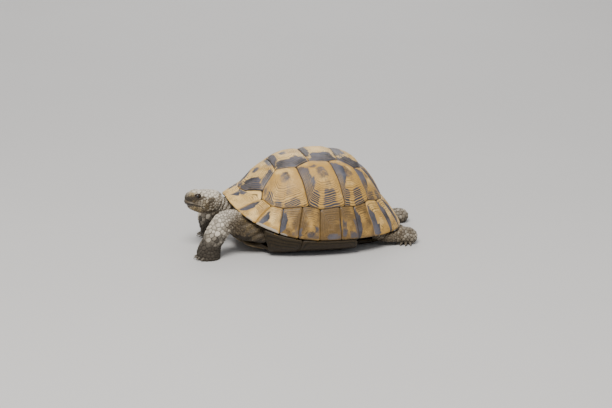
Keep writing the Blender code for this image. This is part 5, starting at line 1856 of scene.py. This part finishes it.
class TORTOISE_OT_stage(Operator):
    """Builds the pale floor, the soft lights and the camera"""

    bl_idname = "tortoise.stage"
    bl_label = "Floor, lights and camera"

    def execute(self, context):
        scene, settings = context.scene, context.scene.tortoise_stage
        bpy.ops.object.select_all(action="DESELECT")
        bpy.ops.mesh.primitive_plane_add(size=30.0, location=(0, 0, 0))
        floor = context.object
        floor.name = "floor"
        material, tree, shader = new_material("pale floor")
        tint = noise(object_place(tree), 3.0)
        connect(shader, {"Base Color": mixed(tint, (0.62, 0.61, 0.60), (0.66, 0.65, 0.64)), "Roughness": 0.9})
        floor.data.materials.append(material)
        for name, (place, size, power, colour) in LIGHTS.items():
            light = bpy.data.lights.new(name, "AREA")
            light.size, light.energy, light.color = size, power, colour
            lamp = bpy.data.objects.new(name, light)
            lamp.location = place
            lamp.rotation_euler = (Vector((0, 0, 0.04)) - Vector(place)).to_track_quat("-Z", "Y").to_euler()
            scene.collection.objects.link(lamp)
        scene.world = bpy.data.worlds.new("soft room")
        scene.world.use_nodes = True
        connect(scene.world.node_tree.nodes["Background"], {"Color": (0.93, 0.95, 1.0), "Strength": 0.38})
        az, el = settings.azimuth, settings.elevation
        back = Vector((math.sin(az) * math.cos(el), -math.cos(az) * math.cos(el), math.sin(el)))
        camera = bpy.data.cameras.new("camera")
        camera.lens, camera.sensor_width, camera.clip_end = settings.lens, 36.0, 50.0
        view = bpy.data.objects.new("camera", camera)
        view.location = Vector(settings.middle) + back * settings.distance
        view.rotation_euler = back.to_track_quat("Z", "Y").to_euler()
        scene.collection.objects.link(view)
        scene.camera = view
        return {"FINISHED"}


# ---------------------------------------------------------------- add-on


class TORTOISE_PT_panel(Panel):
    """Lists the tortoise's pieces in the order in which they are made"""

    bl_label = "Tortoise"
    bl_idname = "TORTOISE_PT_panel"
    bl_space_type = "VIEW_3D"
    bl_region_type = "UI"
    bl_category = "Tortoise"

    def draw(self, context):
        for operator in OPERATORS:
            self.layout.operator(operator.bl_idname)
        for name in PROPERTY_SETS:
            box = self.layout.box()
            settings = getattr(context.scene, name)
            for key in settings.__annotations__:
                box.prop(settings, key)


PROPERTY_SETS = {"tortoise_shell": TORTOISE_PG_shell, "tortoise_flesh": TORTOISE_PG_flesh,
                 "tortoise_stage": TORTOISE_PG_stage}
OPERATORS = (TORTOISE_OT_carapace, TORTOISE_OT_plastron, TORTOISE_OT_skin, TORTOISE_OT_scales,
             TORTOISE_OT_eyes, TORTOISE_OT_claws, TORTOISE_OT_beak, TORTOISE_OT_stage)
CLASSES = (*PROPERTY_SETS.values(), *OPERATORS, TORTOISE_PT_panel)


def register():
    for cls in CLASSES:
        bpy.utils.register_class(cls)
    for name, settings in PROPERTY_SETS.items():
        setattr(bpy.types.Scene, name, PointerProperty(type=settings))


def unregister():
    for name in PROPERTY_SETS:
        delattr(bpy.types.Scene, name)
    for cls in reversed(CLASSES):
        bpy.utils.unregister_class(cls)


def main():
    register()
    for operator in OPERATORS:
        group, name = operator.bl_idname.split(".")
        getattr(getattr(bpy.ops, group), name)()


if __name__ == "__main__":
    main()
